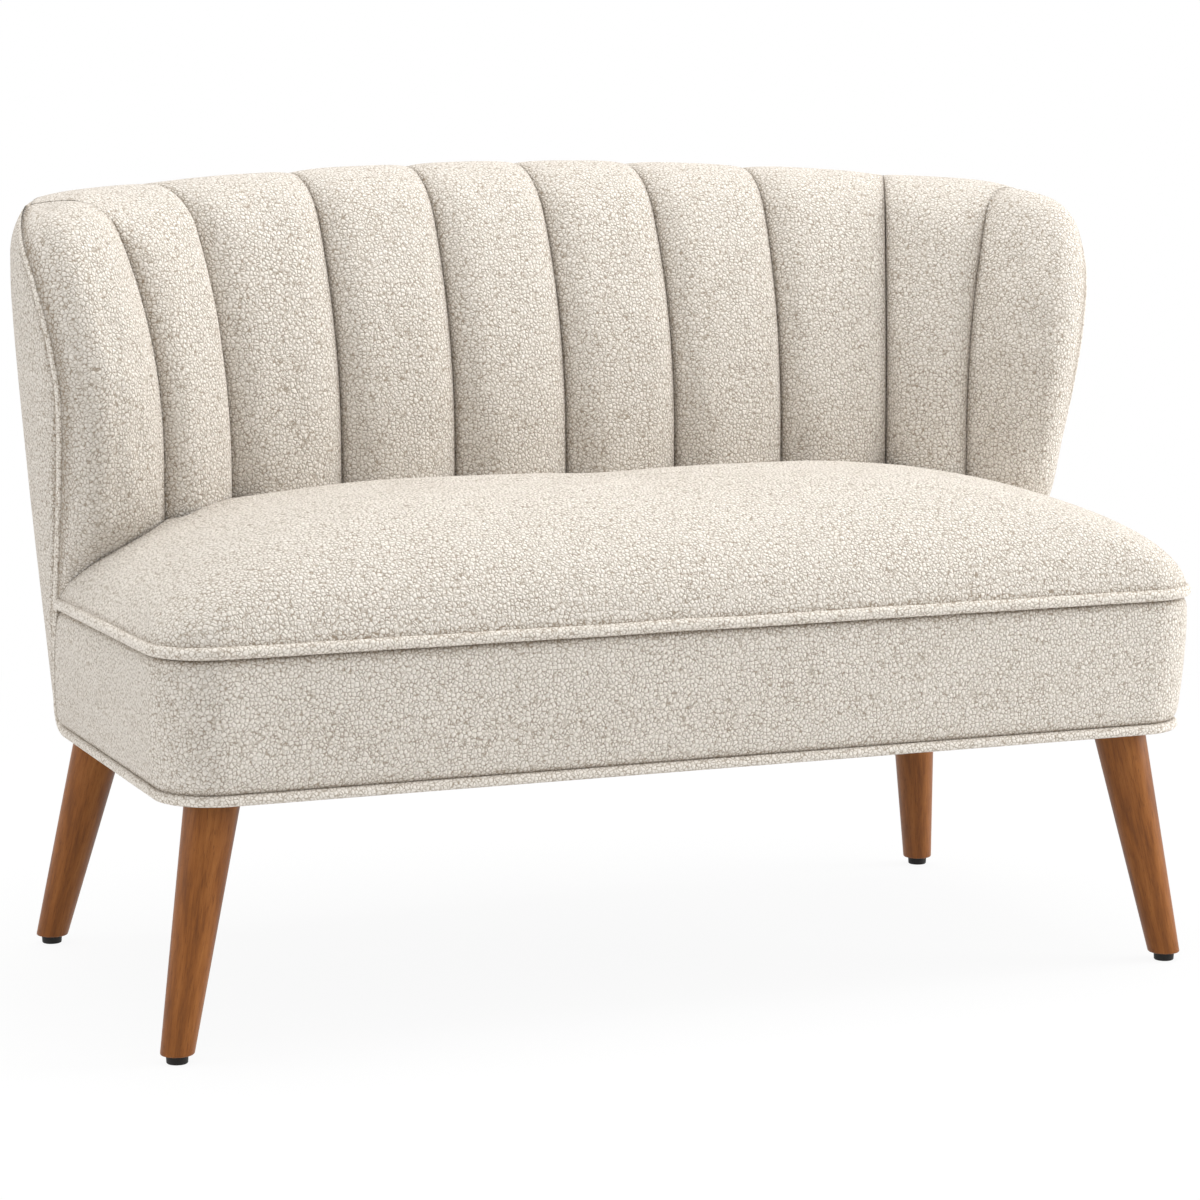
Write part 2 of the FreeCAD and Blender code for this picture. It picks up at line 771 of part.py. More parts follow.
def felt_pad():
    outline = Outline(underside_height, frame_inset + fit_gap)
    rear = seam_y - wing_seam_forward - felt_margin
    plan = rounded_plan(outline, rear, dome_rear_radius)
    pad = Part.Face(plan).extrude(UP * felt_thickness)
    pad.translate(UP * (deck_z - underside_height))
    return pad


# Back frame: shaped ribs in the seam planes, a post in each wing

def back_rib(seam):
    """Rib behind a seam: its front edge follows the channels, its rear edge the bent rails."""
    depth = channel_thickness + rib_gap
    front = [seam.place(depth, rail_top_z)]
    for index in range(1, 2 + seam.curve_steps):
        point, _, outward, _ = seam.station(index, rail_top_z)
        front.append(point - outward * depth)
    corners = front + [seam.place(back_depth, front[-1].z), seam.place(back_depth, rail_top_z)]
    face = Part.Face(Part.makePolygon(corners + corners[:1]))
    face.translate(seam.across() * (-rib_thickness / 2))
    rib = face.extrude(seam.across() * rib_thickness).common(wall_core(rail_top_z, rib_top_z))
    middle = (depth + Wall(lean_z, core_inset).reach(seam.foot, seam.away)) / 2
    hole_at = seam.place(middle, lean_z) - seam.across() * rib_thickness
    return rib.cut(Part.makeCylinder(rib_hole_diameter / 2, 2 * rib_thickness, hole_at, seam.across()))


def wing_post(side):
    """Upright board inside a wing, trimmed to the stuffing in front of it and to the bent rails behind it."""
    seam = right_wing_seam
    outer = Outline(underside_height, frame_inset + rail_thickness).side_end.x - fit_gap
    start = seam.foot.y + channel_thickness / 4
    board = box(outer - rib_thickness, outer, start, rear_y, rail_top_z, rib_top_z)
    board = board.common(wall_core(rail_top_z, rib_top_z))
    beside = channel(seams[-2], seam, channel_bulge, channel_foot_z, post_gap)
    board = board.cut(wing_channel(1, post_gap)).cut(beside)
    largest = max(board.Solids, key=lambda solid: solid.Volume)
    if side < 0:
        return largest.mirror(V(0, 0, 0), V(1, 0, 0))
    return largest


# Legs, their bolts and nuts, and the screw-in feet

class Leg:
    """One splayed leg, from the centre of its foot to its top under the base frame."""

    def __init__(self, side, front):
        self.side = side
        self.front = front
        if front:
            x = base_front_width / 2 - front_leg_inset_side
            y = band_front_y + base_flare + front_leg_inset_front
            lean = V(front_leg_lean_side, -front_leg_lean_front, 0)
        else:
            x = back_foot_width / 2 - rear_leg_inset_side
            y = rear_y - back_lean - rear_leg_inset_rear
            lean = V(rear_leg_lean_side, rear_leg_lean_rear, 0)
        self.top = V(x * side, y, frame_z)
        self.foot = V((x + lean.x) * side, y + lean.y, foot_height)
        self.axis = (self.top - self.foot).normalize()
        self.length = (self.top - self.foot).Length
        self.hole_radius = leg_top_diameter / 2 / self.axis.z + leg_hole_margin

    def along_axis(self, radius, start, end):
        """Cylinder on the leg's axis, measured from the leg's top."""
        return Part.makeCylinder(radius, end - start, self.top + self.axis * start, self.axis)

    def shape(self):
        extra = leg_top_diameter
        slope = (leg_top_diameter - leg_end_diameter) / 2 / self.length
        low = leg_end_diameter / 2 - slope * extra
        high = leg_top_diameter / 2 + slope * extra
        cone = Part.makeCone(low, high, self.length + 2 * extra, self.foot - self.axis * extra, self.axis)
        reach = base_front_width
        leg = cone.common(box(-reach, reach, -reach, reach, foot_height, frame_z))
        rim = [edge for edge in leg.Edges if abs(edge.BoundBox.ZMax - foot_height) < fit_gap]
        leg = leg.makeChamfer(leg_end_chamfer, rim)
        bore = bolt_diameter / 2 + bolt_clearance
        leg = leg.cut(self.along_axis(bore, -bolt_in_leg - nut_room, bolt_diameter))
        depth = stem_length + stem_end_room
        return leg.cut(Part.makeCylinder(stem_diameter / 2 + stem_clearance, depth, self.foot))

    def bolt(self):
        return self.along_axis(bolt_diameter / 2, -bolt_in_leg, bolt_in_block)

    def nut(self):
        barrel = self.along_axis(nut_barrel_diameter / 2, nut_seat_depth - nut_barrel_length, nut_seat_depth)
        flange = self.along_axis(nut_flange_diameter / 2, nut_seat_depth, nut_seat_depth + nut_flange_thickness)
        bore = self.along_axis(bolt_diameter / 2 + bolt_clearance / 2, 0, rail_height)
        return barrel.fuse(flange).removeSplitter().cut(bore)

    def levelling_foot(self):
        """Round glide with a rounded lower edge and a threaded stem, turned about an upright axis."""
        wide = foot_diameter / 2
        narrow = foot_base_diameter / 2
        thin = stem_diameter / 2
        slope = math.sqrt(0.5)
        low = V(narrow - foot_edge, 0, 0)
        rounded = V(narrow - foot_edge + foot_edge * slope, 0, foot_edge * (1 - slope))
        corners = [V(narrow, 0, foot_edge), V(wide, 0, foot_height), V(thin, 0, foot_height)]
        corners += [V(thin, 0, foot_height + stem_length), V(0, 0, foot_height + stem_length), V(0, 0, 0), low]
        edges = [arc(low, rounded, corners[0])]
        for start, end in zip(corners, corners[1:]):
            edges.append(segment(start, end))
        turned = Part.Face(Part.Wire(edges)).revolve(V(0, 0, 0), UP, 360)
        turned.translate(V(self.foot.x, self.foot.y, 0))
        return turned


legs = [Leg(side, front) for front in (True, False) for side in (-1, 1)]
block_inner_x = Outline(underside_height, frame_inset).side_start.x - block_size
front_block_y = Outline(underside_height, frame_inset).front + block_size
rear_block_x = legs[-1].top.x - block_size / 2
rear_block_y = legs[-1].top.y - block_size / 2

parts = {
    "border_band": border_band(),
    "seat_piping": seat_piping(),
    "bottom_welt": bottom_welt(),
    "dust_cover": dust_cover(),
    "outer_back_panel": outer_back_panel(),
    "seat_cushion": seat_cushion(),
    "felt_pad": felt_pad(),
    "webbing_lengthwise": lengthwise_webbing(),
    "webbing_crosswise": crosswise_webbing(),
    "front_rail": front_rail(),
    "side_rail_left": side_rail(-1),
    "side_rail_right": side_rail(1),
    "rear_rail": rear_rail(),
    "back_plank": plank(),
    "stretcher_left": stretcher(-1),
    "stretcher_right": stretcher(1),
    "back_rail_middle": wall_strip(middle_strip_z, middle_strip_z + strip_height),
    "back_rail_top": wall_strip(rib_top_z - strip_height, rib_top_z),
    "wing_post_left": wing_post(-1),
    "wing_post_right": wing_post(1),
    "leg_bolts": Part.makeCompound([leg.bolt() for leg in legs]),
    "leg_nuts": Part.makeCompound([leg.nut() for leg in legs]),
}
for number, shape in enumerate(back_channels(), start=1):
    parts["back_channel_%02d" % number] = shape
for number, seam in enumerate([inner_seams[i] for i in (0, 1, 3, 5, 6)], start=1):
    parts["back_rib_%d" % number] = back_rib(seam)
for leg in legs:
    place = ("front" if leg.front else "rear") + ("_left" if leg.side < 0 else "_right")
    parts["leg_" + place] = leg.shape()
    parts["foot_" + place] = leg.levelling_foot()
    parts["corner_block_" + place] = corner_block(leg)

os.makedirs("parts", exist_ok=True)
for name, shape in parts.items():
    shape.exportStep("parts/%s.step" % name)
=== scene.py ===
"""Looks of a curved two-seater sofa: looped-pile cover, channelled back, domed seat, splayed wooden legs.

Metres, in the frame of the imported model: +X to the right in a front view, +Y to the back, +Z up, floor at 0.
"""
from __future__ import annotations

import logging
import math
from dataclasses import dataclass, field
from enum import Enum
from typing import Any, Iterable, Mapping, Optional, Sequence, Tuple, Union

import bmesh
import bpy
import numpy as np
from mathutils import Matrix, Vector, noise

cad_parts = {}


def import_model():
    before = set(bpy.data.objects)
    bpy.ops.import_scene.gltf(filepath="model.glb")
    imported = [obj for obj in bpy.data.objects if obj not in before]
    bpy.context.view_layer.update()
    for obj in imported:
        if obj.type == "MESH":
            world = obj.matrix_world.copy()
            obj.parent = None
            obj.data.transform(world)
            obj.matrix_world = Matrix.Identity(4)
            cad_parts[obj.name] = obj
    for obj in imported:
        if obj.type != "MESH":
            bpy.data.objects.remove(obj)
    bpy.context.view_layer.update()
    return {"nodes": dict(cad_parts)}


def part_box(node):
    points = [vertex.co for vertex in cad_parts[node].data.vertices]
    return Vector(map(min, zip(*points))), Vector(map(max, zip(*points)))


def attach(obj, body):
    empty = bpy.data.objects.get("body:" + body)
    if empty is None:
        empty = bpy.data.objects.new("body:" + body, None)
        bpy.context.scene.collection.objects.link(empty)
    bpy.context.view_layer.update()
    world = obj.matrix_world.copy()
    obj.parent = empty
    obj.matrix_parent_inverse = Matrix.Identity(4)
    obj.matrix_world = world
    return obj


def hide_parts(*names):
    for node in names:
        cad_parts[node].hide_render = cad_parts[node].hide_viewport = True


LOG = logging.getLogger("sofa")
Colour = Tuple[float, float, float]
Plug = Union["Value", float, Tuple[float, ...]]
# Mesh attribute holding the share of painted shade along seams and creases; the cloth simulation also holds
# the points that it marks.
SHADE_ATTRIBUTE = "pressed_pile"
MIRROR = np.array([-1.0, 1.0, 1.0])


class Side(Enum):
    """Left and right in a front view."""

    LEFT = -1
    RIGHT = 1


class Row(Enum):
    """Front and rear pairs of legs."""

    FRONT = "front"
    REAR = "rear"


class Value:
    """An output socket that takes part in Python expressions; each operator adds one Math node."""

    def __init__(self, graph: "NodeGraph", socket: bpy.types.NodeSocket) -> None:
        """Wraps a socket of the graph."""
        self.graph = graph
        self.socket = socket

    def math(self, operation: str, *terms: Plug) -> "Value":
        """Adds a Math node.

        Args:
            operation: Name of the Math node's operation.
            terms: Its inputs, in order.

        Returns:
            The node's result.
        """
        return self.graph.add("ShaderNodeMath", {"operation": operation}, dict(enumerate(terms)))["Value"]

    def __add__(self, other: Plug) -> "Value":
        """Sum."""
        return self.math("ADD", self, other)

    def __radd__(self, other: float) -> "Value":
        """Sum with a number on the left."""
        return self.math("ADD", other, self)

    def __sub__(self, other: Plug) -> "Value":
        """Difference."""
        return self.math("SUBTRACT", self, other)

    def __rsub__(self, other: float) -> "Value":
        """Difference from a number."""
        return self.math("SUBTRACT", other, self)

    def __mul__(self, other: Plug) -> "Value":
        """Product."""
        return self.math("MULTIPLY", self, other)

    def __rmul__(self, other: float) -> "Value":
        """Product with a number on the left."""
        return self.math("MULTIPLY", other, self)

    def ease(self, low: float, high: float) -> "Value":
        """Smooth step from 0 at low to 1 at high."""
        spread = {"Value": self, "From Min": low, "From Max": high}
        return self.graph.add("ShaderNodeMapRange", {"interpolation_type": "SMOOTHSTEP"}, spread)["Result"]

    def least(self, other: Plug) -> "Value":
        """The smaller of two values."""
        return self.math("MINIMUM", self, other)

    def most(self, other: Plug) -> "Value":
        """The larger of two values."""
        return self.math("MAXIMUM", self, other)


class PlacedNode:
    """A node in a graph, with its outputs by name."""

    def __init__(self, graph: "NodeGraph", node: bpy.types.Node) -> None:
        """Wraps a node of the graph."""
        self.graph = graph
        self.node = node

    def __getitem__(self, name: str) -> Value:
        """Output of that name or identifier."""
        return Value(self.graph, find_socket(self.node.outputs, name))


def find_socket(sockets: Iterable[bpy.types.NodeSocket], name: Union[str, int]) -> bpy.types.NodeSocket:
    """Finds a socket by its place, identifier or name.

    Args:
        sockets: A node's inputs or outputs.
        name: Index, identifier or shown name.

    Returns:
        The socket.
    """
    listed = list(sockets)
    if isinstance(name, int):
        return listed[name]
    for socket in listed:
        if socket.identifier == name:
            return socket
    for socket in listed:
        if socket.name == name and socket.enabled:
            return socket
    raise KeyError(name)


class NodeGraph:
    """Node tree of one material or of the world."""

    def __init__(self, tree: bpy.types.NodeTree) -> None:
        """Starts from an empty tree."""
        self.tree = tree
        tree.nodes.clear()

    def add(
        self,
        kind: str,
        settings: Optional[Mapping[str, Any]] = None,
        inputs: Optional[Mapping[Union[str, int], Plug]] = None,
    ) -> PlacedNode:
        """Adds one node.

        Args:
            kind: Blender's node type.
            settings: Properties, set first; "stops" gives a colour ramp's places and colours.
            inputs: Numbers, colours or links for its sockets.

        Returns:
            The placed node.
        """
        node = self.tree.nodes.new(kind)
        for name, setting in (settings or {}).items():
            if name == "stops":
                ramp = node.color_ramp
                while len(ramp.elements) < len(setting):
                    ramp.elements.new(1.0)
                for element, (place, colour) in zip(ramp.elements, setting):
                    element.position = place
                    element.color = (*colour, 1.0)
            else:
                setattr(node, name, setting)
        for name, plug in (inputs or {}).items():
            socket = find_socket(node.inputs, name)
            if isinstance(plug, Value):
                self.tree.links.new(plug.socket, socket)
            elif isinstance(plug, tuple) and socket.type == "RGBA":
                socket.default_value = (*plug[:3], 1.0)
            else:
                socket.default_value = plug
        return PlacedNode(self, node)

    def colour_mix(self, first: Plug, second: Plug, share: Plug) -> Value:
        """Blends two colours by a share from 0 to 1."""
        plugs = {"Factor_Float": share, "A_Color": first, "B_Color": second}
        return self.add("ShaderNodeMix", {"data_type": "RGBA"}, plugs)["Result_Color"]

    def vector(self, operation: str, first: Plug, second: Plug) -> Value:
        """Vector Math on two vectors."""
        return self.add("ShaderNodeVectorMath", {"operation": operation}, {0: first, 1: second})["Vector"]

    def place(self) -> Value:
        """Object coordinates, which are metres in the frame."""
        return self.add("ShaderNodeTexCoord")["Object"]

    def noise(self, where: Value, scale: float, detail: float = 2.0, rough: float = 0.5) -> PlacedNode:
        """Noise texture.

        Args:
            where: Coordinates.
            scale: Spots per metre.
            detail: Octaves.
            rough: Weight of the finer octaves.

        Returns:
            The texture node.
        """
        plugs = {"Vector": where, "Scale": scale, "Detail": detail, "Roughness": rough}
        return self.add("ShaderNodeTexNoise", None, plugs)

    def cells(self, where: Value, size: float, feature: str, loose: float = 1.0) -> PlacedNode:
        """Cell texture.

        Args:
            where: Coordinates.
            size: Width of a cell in metres.
            feature: The Voronoi node's feature.
            loose: Irregularity from 0 to 1.

        Returns:
            The texture node.
        """
        plugs = {"Vector": where, "Scale": 1.0 / size, "Randomness": loose}
        return self.add("ShaderNodeTexVoronoi", {"feature": feature}, plugs)

    def bump(self, height: Value, strength: float, distance: float) -> Value:
        """Surface normal from a height."""
        plugs = {"Strength": strength, "Distance": distance, "Height": height}
        return self.add("ShaderNodeBump", None, plugs)["Normal"]


class Finish:
    """A material that is made once and shared by the pieces that wear it."""

    label: str = "finish"

    def paint(self, graph: NodeGraph) -> Mapping[str, Plug]:
        """Gives the plugs of the surface shader.

        Args:
            graph: Graph of the material.

        Returns:
            Socket names with their numbers, colours or links.
        """
        raise NotImplementedError

    def material(self) -> bpy.types.Material:
        """Makes the material at first use.

        Returns:
            The shared material.
        """
        known = bpy.data.materials.get(self.label)
        if known:
            return known
        made = bpy.data.materials.new(self.label)
        made.use_nodes = True
        graph = NodeGraph(made.node_tree)
        surface = graph.add("ShaderNodeBsdfPrincipled", None, self.paint(graph))
        graph.add("ShaderNodeOutputMaterial", None, {"Surface": surface["BSDF"]})
        return made


@dataclass(frozen=True)
class LoopedPile(Finish):
    """Curly looped pile: pale pebbles of yarn parted by a thin network of darker crevices."""

    label: str = "looped_pile"
    light: Colour = (0.875, 0.820, 0.748)
    dark: Colour = (0.310, 0.250, 0.185)
    pebble: float = 0.0037
    crevice: float = 0.18
    depth: float = 0.0015
    strength: float = 0.80

    def paint(self, graph: NodeGraph) -> Mapping[str, Plug]:
        """Pebbles, curls inside them, patches of darker crevices, and painted shade along the seams and
        creases.

        Args:
            graph: Graph of the material.

        Returns:
            Plugs of the surface shader.
        """
        where = graph.place()
        stray = graph.vector("SUBTRACT", graph.noise(where, 1.0 / self.pebble, 1.0)["Color"], (0.5, 0.5, 0.5))
        bent = graph.vector("ADD", where, graph.vector("MULTIPLY", stray, (self.pebble * 0.5,) * 3))
        edge = graph.cells(bent, self.pebble, "DISTANCE_TO_EDGE", 0.92)["Distance"]
        pick = graph.cells(bent, self.pebble, "F1", 0.92)["Color"]
        curl = graph.cells(bent, self.pebble * 0.40, "DISTANCE_TO_EDGE", 1.0)["Distance"]
        fine = graph.noise(where, 900.0, 3.0, 0.6)["Fac"]
        patch = graph.noise(where, 11.0, 2.0)["Fac"].ease(0.32, 0.68)
        tone = graph.add("ShaderNodeSeparateColor", None, {"Color": pick})["Red"]
        broken = graph.noise(where, 1.1 / self.pebble, 1.0)["Fac"].ease(0.36, 0.60)
        # Painted shade: the marked share darkens the pile's colour along seams and creases.
        painted_shade = graph.add("ShaderNodeAttribute", {"attribute_name": SHADE_ATTRIBUTE})["Fac"]
        gap = 1.0 - edge.ease(0.0, self.crevice)
        small_gap = 1.0 - curl.ease(0.0, 0.22)
        shade = gap * (0.40 + 0.44 * broken + 0.06 * patch) + small_gap * 0.12 + (tone - 0.5) * 0.05
        shade = shade + (fine - 0.5) * 0.42 + painted_shade * 0.45
        colour = graph.colour_mix(self.light, self.dark, shade.most(0.0).least(1.0))
        height = edge.ease(0.0, 0.42) + curl.ease(0.0, 0.40) * 0.30 + fine * 0.35
        return {
            "Base Color": colour,
            "Roughness": 0.94,
            "Specular IOR Level": 0.12,
            "Sheen Weight": 0.10,
            "Sheen Roughness": 0.6,
            "Normal": graph.bump(height, self.strength, self.depth),
        }


@dataclass(frozen=True)
class StainedWood(Finish):
    """Turned hardwood leg with an acorn stain; the grain runs along the leg's axis."""

    label: str = "stained_wood"
    axis: Tuple[float, float, float] = (0.0, 0.0, 1.0)
    foot: Tuple[float, float, float] = (0.0, 0.0, 0.0)
    dark: Colour = (0.105, 0.030, 0.005)
    middle: Colour = (0.245, 0.080, 0.013)
    light: Colour = (0.365, 0.138, 0.032)

    def paint(self, graph: NodeGraph) -> Mapping[str, Plug]:
        """Long fibres, broad bands and fine pores.

        Args:
            graph: Graph of the material.

        Returns:
            Plugs of the surface shader.
        """
        turn = Vector(self.axis).rotation_difference(Vector((0.0, 0.0, 1.0)))
        shift = turn @ Vector(self.foot)
        settings = {"Vector": graph.place(), "Rotation": tuple(turn.to_euler()), "Location": tuple(-shift)}
        along = graph.add("ShaderNodeMapping", {"vector_type": "POINT"}, settings)["Vector"]
        drawn = graph.vector("MULTIPLY", along, (1.0, 1.0, 0.055))
        wavy = graph.vector("MULTIPLY", along, (1.0, 1.0, 0.16))
        bands = graph.noise(wavy, 62.0, 3.0, 0.55)["Fac"]
        fibre = graph.noise(drawn, 420.0, 3.0, 0.65)["Fac"]
        pores = graph.noise(drawn, 1500.0, 2.0, 0.6)["Fac"]
        share = (bands - 0.5) * 1.5 + (fibre - 0.5) * 0.9 + 0.5
        stops = [(0.0, self.dark), (0.5, self.middle), (1.0, self.light)]
        colour = graph.add("ShaderNodeValToRGB", {"stops": stops}, {"Fac": share})["Color"]
        pore = 1.0 - pores.ease(0.30, 0.46)
        colour = graph.colour_mix(colour, self.dark, pore * 0.55)
        height = fibre * 0.5 + pores * 0.5
        return {
            "Base Color": colour,
            "Roughness": 0.40 + (fibre - 0.5) * 0.24 + pore * 0.12,
            "Specular IOR Level": 0.24,
            "Normal": graph.bump(height, 0.22, 0.0006),
        }


@dataclass(frozen=True)
class RawTimber(Finish):
    """Planed softwood of the hidden frame."""

    label: str = "raw_timber"
    light: Colour = (0.58, 0.41, 0.24)
    dark: Colour = (0.36, 0.22, 0.11)
    drawn: Tuple[float, float, float] = (0.12, 1.0, 1.0)

    def paint(self, graph: NodeGraph) -> Mapping[str, Plug]:
        """Year rings drawn out along the board.

        Args:
            graph: Graph of the material.

        Returns:
            Plugs of the surface shader.
        """
        along = graph.vector("MULTIPLY", graph.place(), self.drawn)
        rings = graph.noise(along, 48.0, 3.0, 0.6)["Fac"]
        fibre = graph.noise(along, 520.0, 2.0, 0.6)["Fac"]
        share = rings.ease(0.34, 0.66) * 0.75 + fibre * 0.35
        return {
            "Base Color": graph.colour_mix(self.light, self.dark, share.least(1.0)),
            "Roughness": 0.62 + fibre * 0.2,
            "Normal": graph.bump(fibre, 0.2, 0.0005),
        }


@dataclass(frozen=True)
class MouldedPlastic(Finish):
    """Black moulded plastic of the screw-in feet, with a fine spark texture."""

    label: str = "moulded_plastic"
    colour: Colour = (0.011, 0.0095, 0.008)

    def paint(self, graph: NodeGraph) -> Mapping[str, Plug]:
        """Fine grain with slight scuffs.

        Args:
            graph: Graph of the material.

        Returns:
            Plugs of the surface shader.
        """
        where = graph.place()
        grain = graph.noise(where, 1800.0, 2.0)["Fac"]
        scuff = graph.noise(where, 160.0, 3.0, 0.7)["Fac"].ease(0.55, 0.75)
        wear_and_painted_shade = tuple(channel * 2.0 for channel in self.colour)
        return {
            "Base Color": graph.colour_mix(self.colour, wear_and_painted_shade, scuff * 0.6),
            "Roughness": 0.52 + scuff * 0.2 + grain * 0.1,
            "Specular IOR Level": 0.28,
            "Normal": graph.bump(grain, 0.15, 0.0003),
        }


@dataclass(frozen=True)
class PlatedSteel(Finish):
    """Zinc-plated steel of bolts, nuts and threaded stems."""

    label: str = "plated_steel"
    colour: Colour = (0.56, 0.56, 0.54)

    def paint(self, graph: NodeGraph) -> Mapping[str, Plug]:
        """Dull spangle.

        Args:
            graph: Graph of the material.

        Returns:
            Plugs of the surface shader.
        """
        spangle = graph.noise(graph.place(), 260.0, 3.0, 0.6)["Fac"]
        dull = tuple(channel * 0.72 for channel in self.colour)
        return {
            "Base Color": graph.colour_mix(self.colour, dull, spangle.ease(0.35, 0.7)),
            "Metallic": 1.0,
            "Roughness": 0.30 + spangle * 0.2,
            "Normal": graph.bump(spangle, 0.08, 0.0004),
        }


@dataclass(frozen=True)
class WovenCloth(Finish):
    """Plain woven or felted cloth of the hidden layers."""

    label: str = "woven_cloth"
    light: Colour = (0.10, 0.10, 0.10)
    dark: Colour = (0.03, 0.03, 0.03)
    thread: float = 0.0012

    def paint(self, graph: NodeGraph) -> Mapping[str, Plug]:
        """Crossing threads with loose fibres.

        Args:
            graph: Graph of the material.

        Returns:
            Plugs of the surface shader.
        """
        where = graph.place()
        scale = 0.5 * math.pi / (self.thread * 10.0)
        waves = []
        for direction in ("X", "Y"):
            settings = {"wave_type": "BANDS", "bands_direction": direction}
            plugs = {"Vector": where, "Scale": scale, "Distortion": 0.6, "Detail": 1.0}
            waves.append(graph.add("ShaderNodeTexWave", settings, plugs)["Fac"])
        weave = waves[0] * waves[1]
        fuzz = graph.noise(where, 900.0, 3.0, 0.65)["Fac"]
        return {
            "Base Color": graph.colour_mix(self.dark, self.light, (weave * 0.6 + fuzz * 0.5).least(1.0)),
            "Roughness": 0.9,
            "Specular IOR Level": 0.15,
            "Normal": graph.bump(weave + fuzz * 0.5, 0.5, 0.0006),
        }


def smooth_step(share: np.ndarray) -> np.ndarray:
    """Eases a share from 0 to 1."""
    held = np.clip(share, 0.0, 1.0)
    return held * held * (3.0 - 2.0 * held)


def running_length(points: np.ndarray) -> np.ndarray:
    """Length along a line of points, from its start to each point."""
    steps = np.linalg.norm(np.diff(points, axis=0), axis=1)
    return np.concatenate([[0.0], np.cumsum(steps)])


def respaced(points: np.ndarray, count: int, *carried: np.ndarray) -> Tuple[np.ndarray, ...]:
    """Spreads points evenly along a line.

    Args:
        points: Points of the line, one per row.
        count: How many points to give back.
        carried: Other values kept with each point.

    Returns:
        The new points, then each carried array at them.
    """
    length = running_length(points)
    wanted = np.linspace(0.0, length[-1], count)
    spread = []
    for values in (points, *carried):
        columns = values.reshape(len(points), -1)
        new = np.stack([np.interp(wanted, length, column) for column in columns.T], axis=1)
        spread.append(new if values.ndim > 1 else new[:, 0])
    return tuple(spread)


def to_nearer_end(grid: np.ndarray) -> np.ndarray:
    """Length along each row of a grid of points, from its nearer end."""
    from_start = np.array([running_length(row) for row in grid])
    return np.minimum(from_start, from_start[:, -1:] - from_start)


def on_circle(turn: np.ndarray) -> np.ndarray:
    """Plan points of a circle of radius one, at each angle."""
    return np.stack([np.cos(turn), np.sin(turn)], axis=1)


def unit(vectors: np.ndarray) -> np.ndarray:
    """Vectors of length one."""
    return vectors / np.maximum(np.linalg.norm(vectors, axis=-1, keepdims=True), 1e-12)


